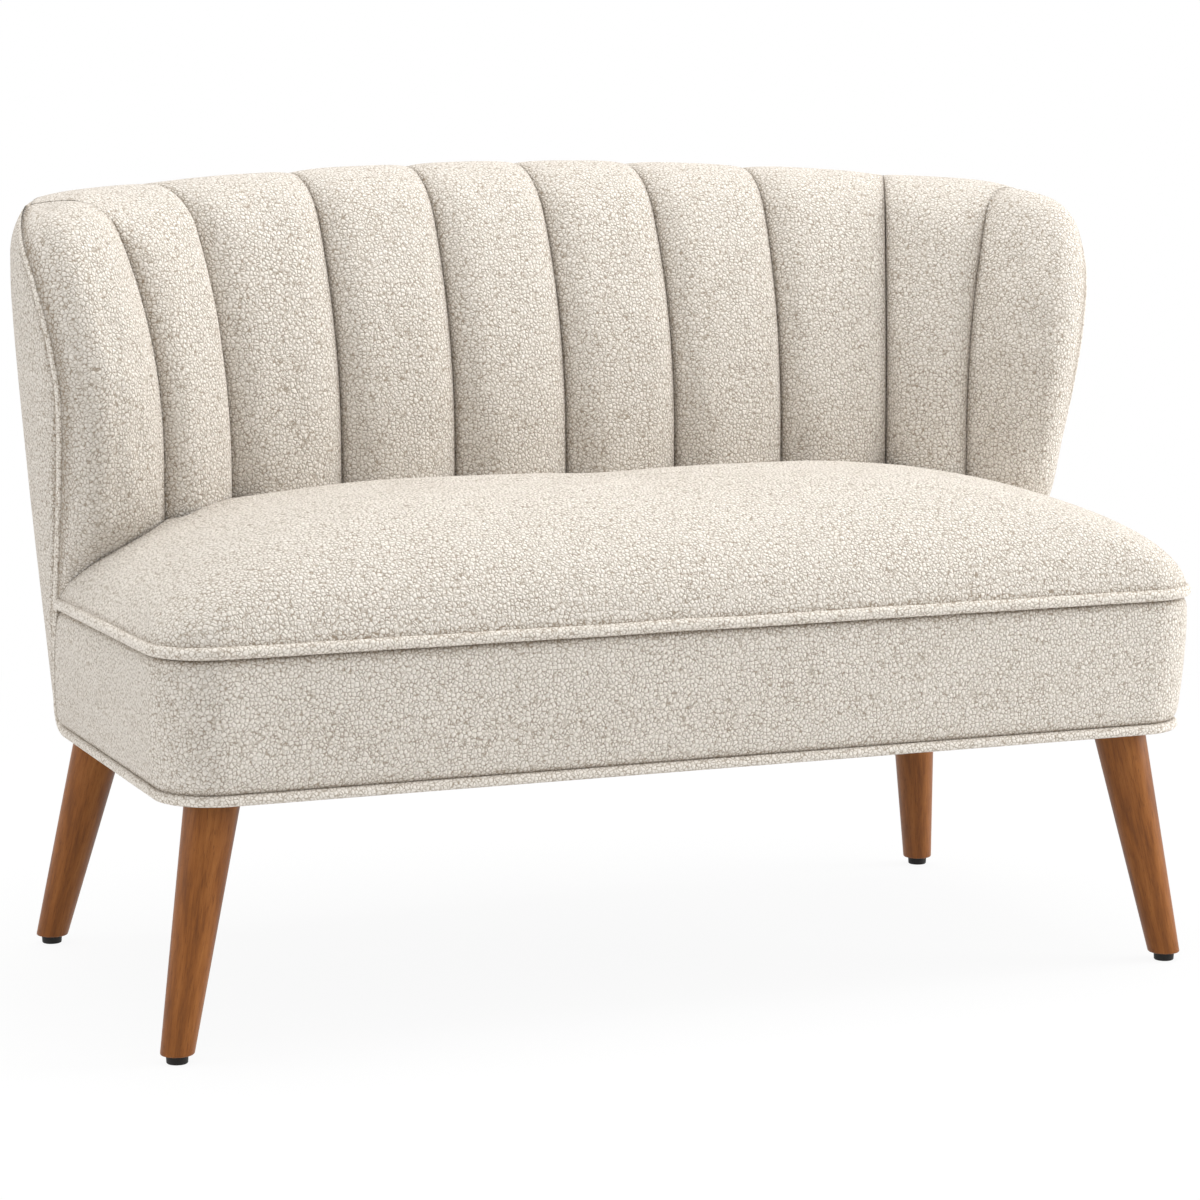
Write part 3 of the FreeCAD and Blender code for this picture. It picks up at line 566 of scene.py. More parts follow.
@dataclass(frozen=True)
class Form:
    """Shared sizes of the upholstery, with the plan curves that its pieces follow."""

    underside: float = 0.230
    piping_z: float = 0.365
    crown: float = 0.117
    back_top: float = 0.764
    back_top_drop: float = 0.021
    shoulder_z: float = 0.740
    tip_z: float = 0.575
    lean_z: float = 0.500
    widest_z: float = 0.660
    roll_z: float = 0.689
    rear_roll: float = 0.075
    front_y: float = -0.290
    rear_y: float = 0.290
    seam_y: float = 0.078
    back_lean: float = 0.012
    tip_forward: float = 0.083
    wing_foot_behind: float = 0.054
    wing_shoulder: float = 0.185
    wing_power: float = 2.5
    half_width: float = 0.550
    foot_set_in: float = 0.047
    base_set_in: float = 0.040
    base_flare: float = 0.005
    front_corner: float = 0.055
    foot_corner: float = 0.130
    full_corner: float = 0.200
    rear_plan: float = 2.200
    flare_power: float = 1.2
    edge_power: float = 1.35
    wing_seam_x: float = 0.421
    outer_channel: float = 0.0715
    inner_channels: int = 6
    wing_seam_forward: float = 0.046
    seam_bow: float = 0.005
    wing_turn: float = math.radians(51.0)
    turn_power: float = 4.0
    top_power: float = 1.5
    setback: Tuple[float, float] = (0.137, 0.088)
    roll: Tuple[float, float] = (0.093, 0.048)
    bulge: float = 0.025
    wing_bulge: float = 0.038
    channel_pillow: Tuple[float, float] = (3.8, 0.66)
    wing_pillow: Tuple[float, float] = (2.5, 0.72)
    wing_flank: Tuple[float, float] = (2.2, 0.88)
    wing_crest: float = 0.24
    wing_foot_fullness: float = 0.28
    wing_foot_rise: float = 0.085
    wing_seam_short: float = 0.010
    bulge_at_top: float = 0.1
    bulge_power: float = 6.0
    piping: float = 0.0115
    piping_outset: float = 0.002
    welt: float = 0.010

    @property
    def pitch(self) -> float:
        """Width of an inner channel."""
        return 2.0 * (self.wing_seam_x - self.outer_channel) / self.inner_channels

    @property
    def band_front(self) -> float:
        """Front face of the band at its top."""
        return self.front_y + self.piping / 2 + self.piping_outset

    @property
    def band_top(self) -> float:
        """Top edge of the band, under the piping."""
        return self.piping_z - self.piping / 2

    @property
    def wing_foot_z(self) -> float:
        """Where the wing channels start, on the piping."""
        return self.piping_z + self.piping / 2

    def seam_places(self) -> np.ndarray:
        """Places of the channel seams.

        Returns:
            Places across the sofa from left to right, wing seams included.
        """
        half = self.inner_channels // 2
        inner = [self.pitch * step for step in range(-half, half + 1)]
        return np.array([-self.wing_seam_x, *inner, self.wing_seam_x])

    def wing_edge_y(self, z: float) -> float:
        """Depth of the outer panel's front edge.

        Args:
            z: Height.

        Returns:
            The edge's Y at that height.
        """
        tip_y = self.seam_y - self.tip_forward
        if z <= self.tip_z:
            share = ((self.tip_z - z) / (self.tip_z - self.underside)) ** self.edge_power
            return tip_y + (self.tip_forward + self.wing_foot_behind) * share
        share = min(1.0, (z - self.tip_z) / (self.shoulder_z - self.tip_z))
        return tip_y + self.wing_shoulder * (1.0 - (1.0 - share**self.wing_power) ** (1.0 / self.wing_power))

    def pillow(self, across: np.ndarray, crest: float) -> np.ndarray:
        """Profile of a stuffed channel: flat over its middle, round at the seams.

        Args:
            across: Place between the two seams, from -1 to 1.
            crest: Where the profile is highest.

        Returns:
            Share of the bulge at each place.
        """
        share = (across - crest) / np.where(across < crest, 1.0 + crest, 1.0 - crest)
        flank = share * crest < 0.0
        shape = self.wing_pillow if crest else self.channel_pillow
        power, root = (np.where(flank, far, near) for far, near in zip(self.wing_flank, shape))
        return np.maximum(0.0, 1.0 - np.abs(share) ** power) ** root

    def wing_fullness(self, z: np.ndarray) -> np.ndarray:
        """Share of the wing's bulge at a height: the wing is drawn in where it meets the seat's edge."""
        risen = smooth_step((z - self.wing_foot_z) / self.wing_foot_rise)
        return self.wing_foot_fullness + (1.0 - self.wing_foot_fullness) * risen

    def top_edge_z(self, y: float) -> float:
        """Height of the outer panel's upper edge: the wing's rounded shoulder, then level.

        Args:
            y: Depth.

        Returns:
            The edge's Z over that depth.
        """
        share = min(1.0, max(0.0, (y - self.seam_y + self.tip_forward) / self.wing_shoulder))
        rest = (1.0 - (1.0 - share) ** self.wing_power) ** (1.0 / self.wing_power)
        return self.tip_z + (self.shoulder_z - self.tip_z) * rest

    def wing_edge(self, z: float) -> Tuple[np.ndarray, np.ndarray]:
        """Finds the right wing edge at a height.

        Args:
            z: Height.

        Returns:
            The edge's point, and the level outward direction there.
        """
        wall = WallPlan(self, z)
        angle = wall.angle_at(self.wing_edge_y(z))
        return wall.corner_point(angle), np.array([math.cos(angle), math.sin(angle), 0.0])

    def edge_heights(self, low: float, high: float, count: int) -> np.ndarray:
        """Heights spread so that points on the wing edge are about evenly spaced.

        Args:
            low: Lowest height.
            high: Highest height.
            count: How many heights.

        Returns:
            The heights, upwards.
        """
        dense = low + (high - low) * (1.0 - (1.0 - np.linspace(0.0, 1.0, 400)) ** 3)
        points = np.array([self.wing_edge(z)[0] for z in dense])
        return respaced(points, count, dense)[1]


class WallPlan:
    """Plan of the outer panel at one height: two corner arcs and one long rear arc."""

    def __init__(self, form: Form, z: float, inset: float = 0.0) -> None:
        """Works out the arcs.

        Args:
            form: Shared sizes.
            z: Height.
            inset: Offset inwards.
        """
        below = max(0.0, (form.widest_z - z) / (form.widest_z - form.underside))
        taper = below**form.flare_power
        corner = form.full_corner - (form.full_corner - form.foot_corner) * taper
        above = min(max(0.0, z - form.roll_z), form.rear_roll)
        rolled = form.rear_roll - math.sqrt(form.rear_roll**2 - above**2)
        self.z = z
        self.x = form.half_width - form.foot_set_in * taper - corner
        self.long_y = form.rear_y - form.back_lean * taper - form.rear_plan
        self.y = self.long_y + math.sqrt((form.rear_plan - corner) ** 2 - self.x**2)
        self.radius = corner - rolled - inset
        self.long_radius = form.rear_plan - rolled - inset
        self.blend = math.atan2(self.y - self.long_y, self.x)

    def corner_point(self, angle: float) -> np.ndarray:
        """Point on the right corner arc."""
        across, deep = self.radius * math.cos(angle), self.radius * math.sin(angle)
        return np.array([self.x + across, self.y + deep, self.z])

    def angle_at(self, y: float) -> float:
        """Angle on the corner arc at a depth."""
        return math.asin(max(-1.0, min(1.0, (y - self.y) / self.radius)))

    def path(self, start_angle: float, corner_steps: int, rear_steps: int) -> np.ndarray:
        """Points from the right wing edge round the back to the left wing edge.

        Args:
            start_angle: Angle of the wing edge on the corner arc.
            corner_steps: Steps along each corner arc.
            rear_steps: Steps along the rear arc.

        Returns:
            One point per row.
        """
        spread = np.linspace(0.0, 1.0, corner_steps + 1) ** 1.6
        corner = np.array([self.corner_point(a) for a in start_angle + (self.blend - start_angle) * spread])
        sweep = np.linspace(self.blend, math.pi - self.blend, rear_steps + 1)[1:-1]
        rear = np.stack(
            [
                self.long_radius * np.cos(sweep),
                self.long_y + self.long_radius * np.sin(sweep),
                np.full_like(sweep, self.z),
            ],
            axis=1,
        )
        return np.concatenate([corner, rear, corner[::-1] * MIRROR])

    def reach(self, start: np.ndarray, direction: np.ndarray) -> float:
        """Distance from an inner plan point to the wall, found by halving.

        Args:
            start: The inner point.
            direction: Plan direction of length one.

        Returns:
            The distance.
        """
        low, high = 0.0, 0.5
        for _ in range(40):
            middle = (low + high) / 2
            x, y = abs(start[0] + direction[0] * middle), start[1] + direction[1] * middle
            if math.atan2(y - self.long_y, x) > self.blend:
                inside = math.hypot(x, y - self.long_y) < self.long_radius
            else:
                inside = math.hypot(x - self.x, y - self.y) < self.radius
            low, high = (middle, high) if inside else (low, middle)
        return low


@dataclass
class EdgeLine:
    """A line that a channel is sewn to, from its foot to the outer panel's top edge."""

    points: np.ndarray
    outward: np.ndarray
    turn: np.ndarray

    def mirrored(self) -> "EdgeLine":
        """The same line on the other side of the sofa."""
        return EdgeLine(self.points * MIRROR, self.outward * MIRROR, self.turn)


class SeamLine:
    """A channel seam: up the inside of the back, leaning away, over the top and down to the panel."""

    def __init__(self, form: Form, x: float) -> None:
        """Works out the seam's arcs.

        Args:
            form: Shared sizes.
            x: Place across the sofa.
        """
        share = abs(x) / form.wing_seam_x
        wing = share >= 0.999
        forward = form.seam_bow * (abs(x) / (form.wing_seam_x - form.outer_channel)) ** 2
        turn = form.wing_turn * share**form.turn_power
        blend = share**form.top_power
        self.form = form
        self.side = 1.0 if x >= 0 else -1.0
        self.foot = np.array([abs(x), form.seam_y - (form.wing_seam_forward if wing else forward)])
        self.away = np.array([math.sin(turn), math.cos(turn)])
        self.setback = form.setback[0] + (form.setback[1] - form.setback[0]) * blend
        self.roll = form.roll[0] + (form.roll[1] - form.roll[0]) * blend
        self.top = form.back_top - form.back_top_drop * share**2
        rise = self.top - form.lean_z
        self.lean = 2 * math.atan((self.setback - self.roll) / (rise - self.roll))
        self.lean_radius = self.roll + (rise - self.roll) / math.sin(self.lean)
        short = form.wing_seam_short if wing else 0.0
        self.end = WallPlan(form, form.shoulder_z).reach(self.foot, self.away) - short
        run, fall = self.end - self.setback, self.top - form.shoulder_z
        self.tail_radius = (run**2 + fall**2) / (2 * fall)
        self.tail = math.asin(run / self.tail_radius)

    def line(self, foot_z: float, count: int) -> EdgeLine:
        """Evenly spaced points up the seam.

        Args:
            foot_z: Height of its lower end.
            count: Number of points.

        Returns:
            The seam with its outward directions and turns.
        """
        steps = np.linspace(0.0, 1.0, 60)
        lean = self.lean * steps
        roll = self.lean + (math.pi / 2 - self.lean) * steps
        over = self.tail * steps
        runs = [
            (np.zeros_like(steps), foot_z + (self.form.lean_z - foot_z) * steps, np.zeros_like(steps)),
            (self.lean_radius * (1 - np.cos(lean)), self.form.lean_z + self.lean_radius * np.sin(lean), lean),
            (self.setback - self.roll * np.cos(roll), self.top - self.roll * (1 - np.sin(roll)), roll),
            (
                self.setback + self.tail_radius * np.sin(over),
                self.top - self.tail_radius * (1 - np.cos(over)),
                math.pi / 2 + over,
            ),
        ]
        along, height, turn = (np.concatenate([run[i] for run in runs]) for i in range(3))
        flat = np.stack([along, height], axis=1)
        flat, turn = respaced(flat, count, turn)
        x = (self.foot[0] + self.away[0] * flat[:, 0]) * self.side
        y = self.foot[1] + self.away[1] * flat[:, 0]
        outward = np.stack(
            [-np.cos(turn) * self.away[0] * self.side, -np.cos(turn) * self.away[1], np.sin(turn)], axis=1
        )
        return EdgeLine(np.stack([x, y, flat[:, 1]], axis=1), outward, turn)


class BasePlan:
    """Right half of the base plan at one height: front line, rounded corner, side line to the wing edge."""

    def __init__(self, form: Form, z: float, inset: float = 0.0) -> None:
        """Works out the plan.

        Args:
            form: Shared sizes.
            z: Height.
            inset: Offset inwards.
        """
        share = (z - form.underside) / (form.band_top - form.underside)
        front = form.band_front + form.base_flare * (1 - share)
        corner = np.array([form.half_width - form.base_set_in + form.base_flare * share, front])
        edge = form.wing_edge(z)[0][:2]
        self.z = z
        self.along = unit(edge - corner)
        self.inward = np.array([-self.along[1], self.along[0]])
        self.radius = form.front_corner - inset
        self.front = front + inset
        shifted = corner + self.inward * (inset + self.radius)
        self.centre = shifted + self.along * ((self.front + self.radius - shifted[1]) / self.along[1])
        self.side_end = edge + self.inward * inset

    def path(self, end_gap: float, side_steps: int, corner_steps: int, front_steps: int) -> np.ndarray:
        """Points from the right wing edge round the front to the left wing edge.

        Args:
            end_gap: Length left free at each wing edge.
            side_steps: Steps along each side.
            corner_steps: Steps along each corner.
            front_steps: Steps along the front.

        Returns:
            One point per row.
        """
        start = math.atan2(-self.inward[1], -self.inward[0])
        turn = np.linspace(start, -math.pi / 2, corner_steps + 1)
        arc = self.centre + self.radius * on_circle(turn)
        end = self.side_end - self.along * end_gap
        side = end + (arc[0] - end) * np.linspace(0.0, 1.0, side_steps + 1)[:-1, None]
        half = np.concatenate([side, arc])
        across = np.linspace(arc[-1][0], -arc[-1][0], front_steps + 1)[1:-1]
        front = np.stack([across, np.full_like(across, self.front)], axis=1)
        flat = np.concatenate([half, front, half[::-1] * MIRROR[:2]])
        return np.concatenate([flat, np.full((len(flat), 1), self.z)], axis=1)


class Workshop:
    """Small helpers that turn rows of points into finished pieces."""

    plan_squareness: int = 6
    tucked_from: float = 0.05
    tucked_over: float = 0.45
    held_from: float = 0.02
    held_gain: float = 3.0
    cloth_quality: int = 3
    cloth_mass: float = 0.3

    @staticmethod
    def skin(
        name: str, rows: np.ndarray, ring: bool, caps: bool, wear_and_painted_shade: Optional[np.ndarray] = None
    ) -> bpy.types.Object:
        """Makes a mesh from a grid of points.

        Args:
            name: Name of the piece.
            rows: Points by row and column.
            ring: Whether each row closes on itself.
            caps: Whether the first and last rows are closed by a face.
            wear_and_painted_shade: Share of painted shade at each point, from 0 to 1.

        Returns:
            The new object, with faces pointing outwards when it is closed.
        """
        count, width = rows.shape[:2]
        faces = []
        columns = width if ring else width - 1
        for row in range(count - 1):
            for column in range(columns):
                after = (column + 1) % width
                low, high = row * width, (row + 1) * width
                faces.append((low + column, low + after, high + after, high + column))
        if caps:
            faces.append(tuple(range(width - 1, -1, -1)))
            faces.append(tuple((count - 1) * width + column for column in range(width)))
        mesh = bpy.data.meshes.new(name)
        mesh.from_pydata(rows.reshape(-1, 3).tolist(), [], faces)
        shaped = bmesh.new()
        shaped.from_mesh(mesh)
        if wear_and_painted_shade is not None:
            layer = shaped.verts.layers.float.new(SHADE_ATTRIBUTE)
            for vertex, share in zip(shaped.verts, wear_and_painted_shade.reshape(-1)):
                vertex[layer] = float(share)
        bmesh.ops.remove_doubles(shaped, verts=shaped.verts, dist=1e-6)
        bmesh.ops.recalc_face_normals(shaped, faces=shaped.faces)
        shaped.to_mesh(mesh)
        shaped.free()
        piece = bpy.data.objects.new(name, mesh)
        Workshop.smooth(piece)
        bpy.context.scene.collection.objects.link(piece)
        return piece

    @staticmethod
    def smooth(piece: bpy.types.Object) -> None:
        """Shades all the faces of a piece smooth."""
        faces = piece.data.polygons
        faces.foreach_set("use_smooth", [True] * len(faces))

    @staticmethod
    def tube(
        name: str, path: np.ndarray, radius: np.ndarray, sides: int = 16, closed: bool = False
    ) -> bpy.types.Object:
        """Makes a fabric-covered cord along a path, with painted shade on the side that faces in towards its
        neighbours.

        Args:
            name: Name of the piece.
            path: Points of its middle line.
            radius: Radius at each point.
            sides: Points round it.
            closed: Whether the path runs back to its start.

        Returns:
            The new object.
        """
        looped = np.roll(path, -1, axis=0) - np.roll(path, 1, axis=0)
        tangent = unit(looped if closed else np.gradient(path, axis=0))
        normal = np.zeros_like(path)
        normal[0] = unit(np.cross(tangent[0], np.array([0.0, 0.0, 1.0]) + 1e-3))
        for index in range(1, len(path)):
            carried = normal[index - 1] - tangent[index] * np.dot(normal[index - 1], tangent[index])
            normal[index] = unit(carried)
        binormal = np.cross(tangent, normal)
        twist = np.zeros(len(path))
        if closed:
            off = math.atan2(np.dot(normal[0], binormal[-1]), np.dot(normal[0], normal[-1]))
            twist = np.linspace(0.0, off, len(path))
        turn = np.linspace(0.0, 2 * math.pi, sides, endpoint=False)[None] + twist[:, None]
        ring = np.cos(turn)[..., None] * normal[:, None] + np.sin(turn)[..., None] * binormal[:, None]
        rows = path[:, None] + ring * radius[:, None, None]
        # Painted shade: the cord's pile is darkened everywhere except on its outward-facing side.
        shares = path[:, :2] / np.abs(path[:, :2]).max(axis=0)
        away = unit(np.sign(shares) * np.abs(shares) ** Workshop.plan_squareness)
        facing = np.einsum("ijk,ik->ij", ring[..., :2], away)
        wear_and_painted_shade = 1 - smooth_step((facing - Workshop.tucked_from) / Workshop.tucked_over)
        if closed:
            rows, wear_and_painted_shade = np.concatenate([rows, rows[:1]]), np.concatenate([wear_and_painted_shade, wear_and_painted_shade[:1]])
        return Workshop.skin(name, rows, True, not closed, wear_and_painted_shade)

    @staticmethod
    def uneven(
        points: np.ndarray, outward: np.ndarray, depth: float, scale: float, seed: float
    ) -> np.ndarray:
        """Moves points in and out by slow noise, as hand stuffing does.

        Args:
            points: Points by row and column.
            outward: Direction at each point.
            depth: Largest movement.
            scale: Waves per metre.
            seed: Offset that makes each piece its own.

        Returns:
            The moved points.
        """
        flat = points.reshape(-1, 3)
        shift = Vector((seed * 3.1, seed * 1.7, seed * 0.6))
        waves = np.array([noise.noise(Vector(p) * scale + shift) for p in flat]).reshape(points.shape[:2])
        return points + outward * (waves * depth)[..., None]

    @staticmethod
    def swell(piece: bpy.types.Object, cap: float, pressure: float = 4.0, frames: int = 12) -> None:
        """Blows a sewn cover up by cloth simulation, held where its painted seam shade is marked, and keeps
        the result.

        Args:
            piece: Closed cover with its painted seam shade marked.
            cap: Furthest that a point may move.
            pressure: Pressure of the stuffing.
            frames: Length of the simulation.
        """
        mesh = piece.data
        wear_and_painted_shade = np.zeros(len(mesh.vertices))
        mesh.attributes[SHADE_ATTRIBUTE].data.foreach_get("value", wear_and_painted_shade)
        group = piece.vertex_groups.new(name="held")
        for index in np.flatnonzero(wear_and_painted_shade > Workshop.held_from):
            group.add([int(index)], min(1.0, float(wear_and_painted_shade[index]) * Workshop.held_gain), "REPLACE")
        cloth = piece.modifiers.new("cloth", "CLOTH")
        cloth.settings.quality = Workshop.cloth_quality
        cloth.settings.mass = Workshop.cloth_mass
        cloth.settings.vertex_group_mass = "held"
        cloth.settings.use_pressure = True
        cloth.settings.uniform_pressure_force = pressure
        cloth.settings.effector_weights.gravity = 0.0
        cloth.point_cache.frame_start = 1
        cloth.point_cache.frame_end = frames
        scene = bpy.context.scene
        for number in range(1, frames + 1):
            scene.frame_set(number)
        grown = np.zeros(len(mesh.vertices) * 3)
        solved = piece.evaluated_get(bpy.context.evaluated_depsgraph_get())
        solved.data.vertices.foreach_get("co", grown)
        start = np.zeros_like(grown)
        mesh.vertices.foreach_get("co", start)
        move = (grown - start).reshape(-1, 3)
        far = np.linalg.norm(move, axis=1)
        move *= (np.tanh(far / cap) * cap / np.maximum(far, 1e-9))[:, None]
        piece.modifiers.remove(cloth)
        piece.vertex_groups.remove(group)
        scene.frame_set(1)
        mesh.vertices.foreach_set("co", start + move.reshape(-1))
        mesh.update()
        furthest = 1000 * float(np.linalg.norm(move, axis=1).max())
        LOG.info("%s swelled by %.1f mm at most", piece.name, furthest)

    @staticmethod
    def only(piece: bpy.types.Object) -> None:
        """Makes a piece the one selected and active object.

        Args:
            piece: The piece.
        """
        bpy.ops.object.select_all(action="DESELECT")
        piece.select_set(True)
        bpy.context.view_layer.objects.active = piece

    @staticmethod
    def applied(piece: bpy.types.Object, kind: str, **settings: Any) -> None:
        """Adds a modifier and applies it.

        Args:
            piece: The piece.
            kind: Blender's modifier type.
            settings: Its properties.
        """
        Workshop.only(piece)
        modifier = piece.modifiers.new(kind.lower(), kind)
        for name, setting in settings.items():
            setattr(modifier, name, setting)
        bpy.ops.object.modifier_apply(modifier=modifier.name)

    @staticmethod
    def dressed(
        piece: bpy.types.Object, finish: Finish, slot: str, nodes: Sequence[str], body: str = "sofa"
    ) -> bpy.types.Object:
        """Gives a piece its finish and body, and hides the CAD nodes that it stands for.

        Args:
            piece: The piece.
            finish: Its finish.
            slot: The record's material slot; not used.
            nodes: CAD nodes that it replaces.
            body: Body that it rides on.

        Returns:
            The same piece.
        """
        piece.data.materials.clear()
        piece.data.materials.append(finish.material())
        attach(piece, body)
        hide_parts(*nodes)
        LOG.info("%s: %d faces", piece.name, len(piece.data.polygons))
        return piece


@dataclass
class ChannelledBack:
    """Ten stuffed channels sewn between the seams, the outermost pair being the wings."""

    form: Form
    cover: Finish
    foot_z: float = 0.3405
    rows: int = 130
    across: int = 40
    depth: float = 0.030
    half_gap: float = 0.0003
    uneven: float = 0.0022
    slow_waves: float = 9.0
    quick_waves: float = 24.0
    least_uneven: float = 0.3
    tail_from: float = 0.74
    tail_overlap: float = 0.0005
    thinned_rows: int = 14
    thinned_to: float = 0.45
    wall_step: float = 0.35
    slack: float = 0.87
    swell_cap: float = 0.0045
    seam_width: float = 0.0034
    seam_shade: float = 0.4

    def wing_edge_line(self, seam: SeamLine) -> EdgeLine:
        """Line of the right wing edge, in step with the wing seam beside it.

        Args:
            seam: The right wing seam.

        Returns:
            The line from the piping up to the panel's top edge.
        """
        form = self.form
        top = form.top_edge_z(seam.foot[1] + seam.away[1] * seam.end)
        heights = form.edge_heights(form.wing_foot_z, top, self.rows)
        pairs = [form.wing_edge(z) for z in heights]
        points = np.array([pair[0] for pair in pairs])
        return EdgeLine(points, np.array([pair[1] for pair in pairs]), np.zeros(self.rows))

    def front_face(
        self, first: EdgeLine, second: EdgeLine, bulge: np.ndarray, crest: float, seed: float
    ) -> np.ndarray:
        """Pillowed face between two lines.

        Args:
            first: Line on the left.
            second: Line on the right.
            bulge: How far the middle stands proud, row by row.
            crest: Where between the lines the face is highest, from -1 to 1.
            seed: Offset of the stuffing's unevenness.

        Returns:
            Points by row and column.
        """
        form = self.form
        chord = second.points - first.points
        gap = unit(chord) * self.half_gap
        start, end = first.points + gap, second.points - gap
        travel = unit(np.gradient(first.points, axis=0)) + unit(np.gradient(second.points, axis=0))
        proud = unit(np.cross(chord, travel))
        turn = np.maximum(first.turn, second.turn)
        share = form.bulge_at_top + (1 - form.bulge_at_top) * np.cos(turn / 2) ** form.bulge_power
        across = self.places()
        profile = form.pillow(across, crest)
        mixed = ((across + 1) / 2)[None, :, None]
        face = start[:, None] * (1 - mixed) + end[:, None] * mixed
        face = face + proud[:, None] * (bulge * share)[:, None, None] * profile[None, :, None]
        held = (profile[None, :] * np.clip(share, self.least_uneven, 1.0)[:, None])[..., None]
        outward = np.broadcast_to(proud[:, None], face.shape) * held
        face = Workshop.uneven(face, outward, self.uneven, self.slow_waves, seed)
        face = Workshop.uneven(face, outward, self.uneven * 0.5, self.quick_waves, seed + 7.0)
        wall = WallPlan(form, form.shoulder_z).path(-0.6, 200, 600)
        ends = (face[-1, 0], face[-1, -1])
        picks = [int(np.argmin(np.linalg.norm(wall[:, :2] - end_point[:2], axis=1))) for end_point in ends]
        spread = np.interp(mixed[0, :, 0], [0.0, 1.0], picks)
        landed = np.stack([np.interp(spread, np.arange(len(wall)), wall[:, i]) for i in range(3)], axis=1)
        landed[0], landed[-1] = ends
        landed[:, 2] = [form.top_edge_z(y) + self.tail_overlap for y in landed[:, 1]]
        drawn = smooth_step((np.linspace(0.0, 1.0, self.rows) - self.tail_from) / (1.0 - self.tail_from))
        return face + (landed - face[-1])[None] * drawn[:, None, None]

    def places(self) -> np.ndarray:
        """Columns of a face between its two lines, from -1 to 1, closer near the seams."""
        even = np.linspace(-1.0, 1.0, self.across)
        return 0.40 * even + 0.60 * np.sin(even * math.pi / 2)

    def channel(
        self, name: str, first: EdgeLine, second: EdgeLine, bulge: np.ndarray, crest: float, seed: float
    ) -> bpy.types.Object:
        """One closed channel: face, walls along its seams, flat back.

        Args:
            name: Name of the piece.
            first: Line on the left.
            second: Line on the right.
            bulge: How far its middle stands proud, row by row.
            crest: Where between the lines it is highest, from -1 to 1.
            seed: Offset of the stuffing's unevenness.

        Returns:
            The new piece.
        """
        stuffed = self.slack
        face = self.front_face(first, second, bulge * stuffed, crest, seed)
        thin = np.ones(self.rows)
        thin[-self.thinned_rows :] = np.linspace(1.0, self.thinned_to, self.thinned_rows)
        inner = [line.outward * (self.depth * thin)[:, None] for line in (second, first)]
        end_wall = [face[:, -1] - inner[0] * share for share in (self.wall_step, 1.0)]
        start_wall = [face[:, 0] - inner[1] * share for share in (1.0, self.wall_step)]
        back = [end_wall[1] * (1 - share) + start_wall[0] * share for share in (0.25, 0.5, 0.75)]
        columns = [face[:, i] for i in range(self.across)] + end_wall + back + start_wall
        grid = np.stack(columns, axis=1)
        # Painted shade: darker pile along each seam, at full strength beside the wing's hem, and on the hidden
        # walls and back.
        wear_and_painted_shade = np.ones(grid.shape[:2])
        wide = np.linalg.norm(second.points - first.points, axis=1)
        off = wide[:, None] * (1 - np.abs(self.places()))[None] / 2
        wear_and_painted_shade[:, : self.across] = np.exp(-((off / self.seam_width) ** 2))
        wear_and_painted_shade *= self.seam_shade
        if crest:
            beside_hem = self.places() * math.copysign(1.0, crest) > 0.5
            wear_and_painted_shade[:, : self.across] *= np.where(beside_hem, 1 / self.seam_shade, 1.0)
        piece = Workshop.skin(name, grid, True, True, wear_and_painted_shade)
        Workshop.swell(piece, self.swell_cap)
        return piece

    def build(self) -> Sequence[bpy.types.Object]:
        """Builds the ten channels from left to right.

        Returns:
            The pieces.
        """
        form = self.form
        seams = [SeamLine(form, x) for x in form.seam_places()]
        lines = [seam.line(self.foot_z, self.rows) for seam in seams]
        edge = self.wing_edge_line(seams[-1])
        wing_seams = [seam.line(form.wing_foot_z, self.rows) for seam in (seams[0], seams[-1])]
        wing_bulge = form.wing_bulge * form.wing_fullness(edge.points[:, 2])
        pairs = [(edge.mirrored(), wing_seams[0], wing_bulge, -form.wing_crest)]
        pairs += [(a, b, np.full(self.rows, form.bulge), 0.0) for a, b in zip(lines, lines[1:])]
        pairs.append((wing_seams[1], edge, wing_bulge, form.wing_crest))
        pieces = []
        for number, (first, second, bulge, crest) in enumerate(pairs, start=1):
            name = "back_channel_%02d_cover" % number
            piece = self.channel(name, first, second, bulge, crest, float(number))
            node = "back_channel_%02d" % number
            pieces.append(Workshop.dressed(piece, self.cover, "cover", [node]))
        return pieces


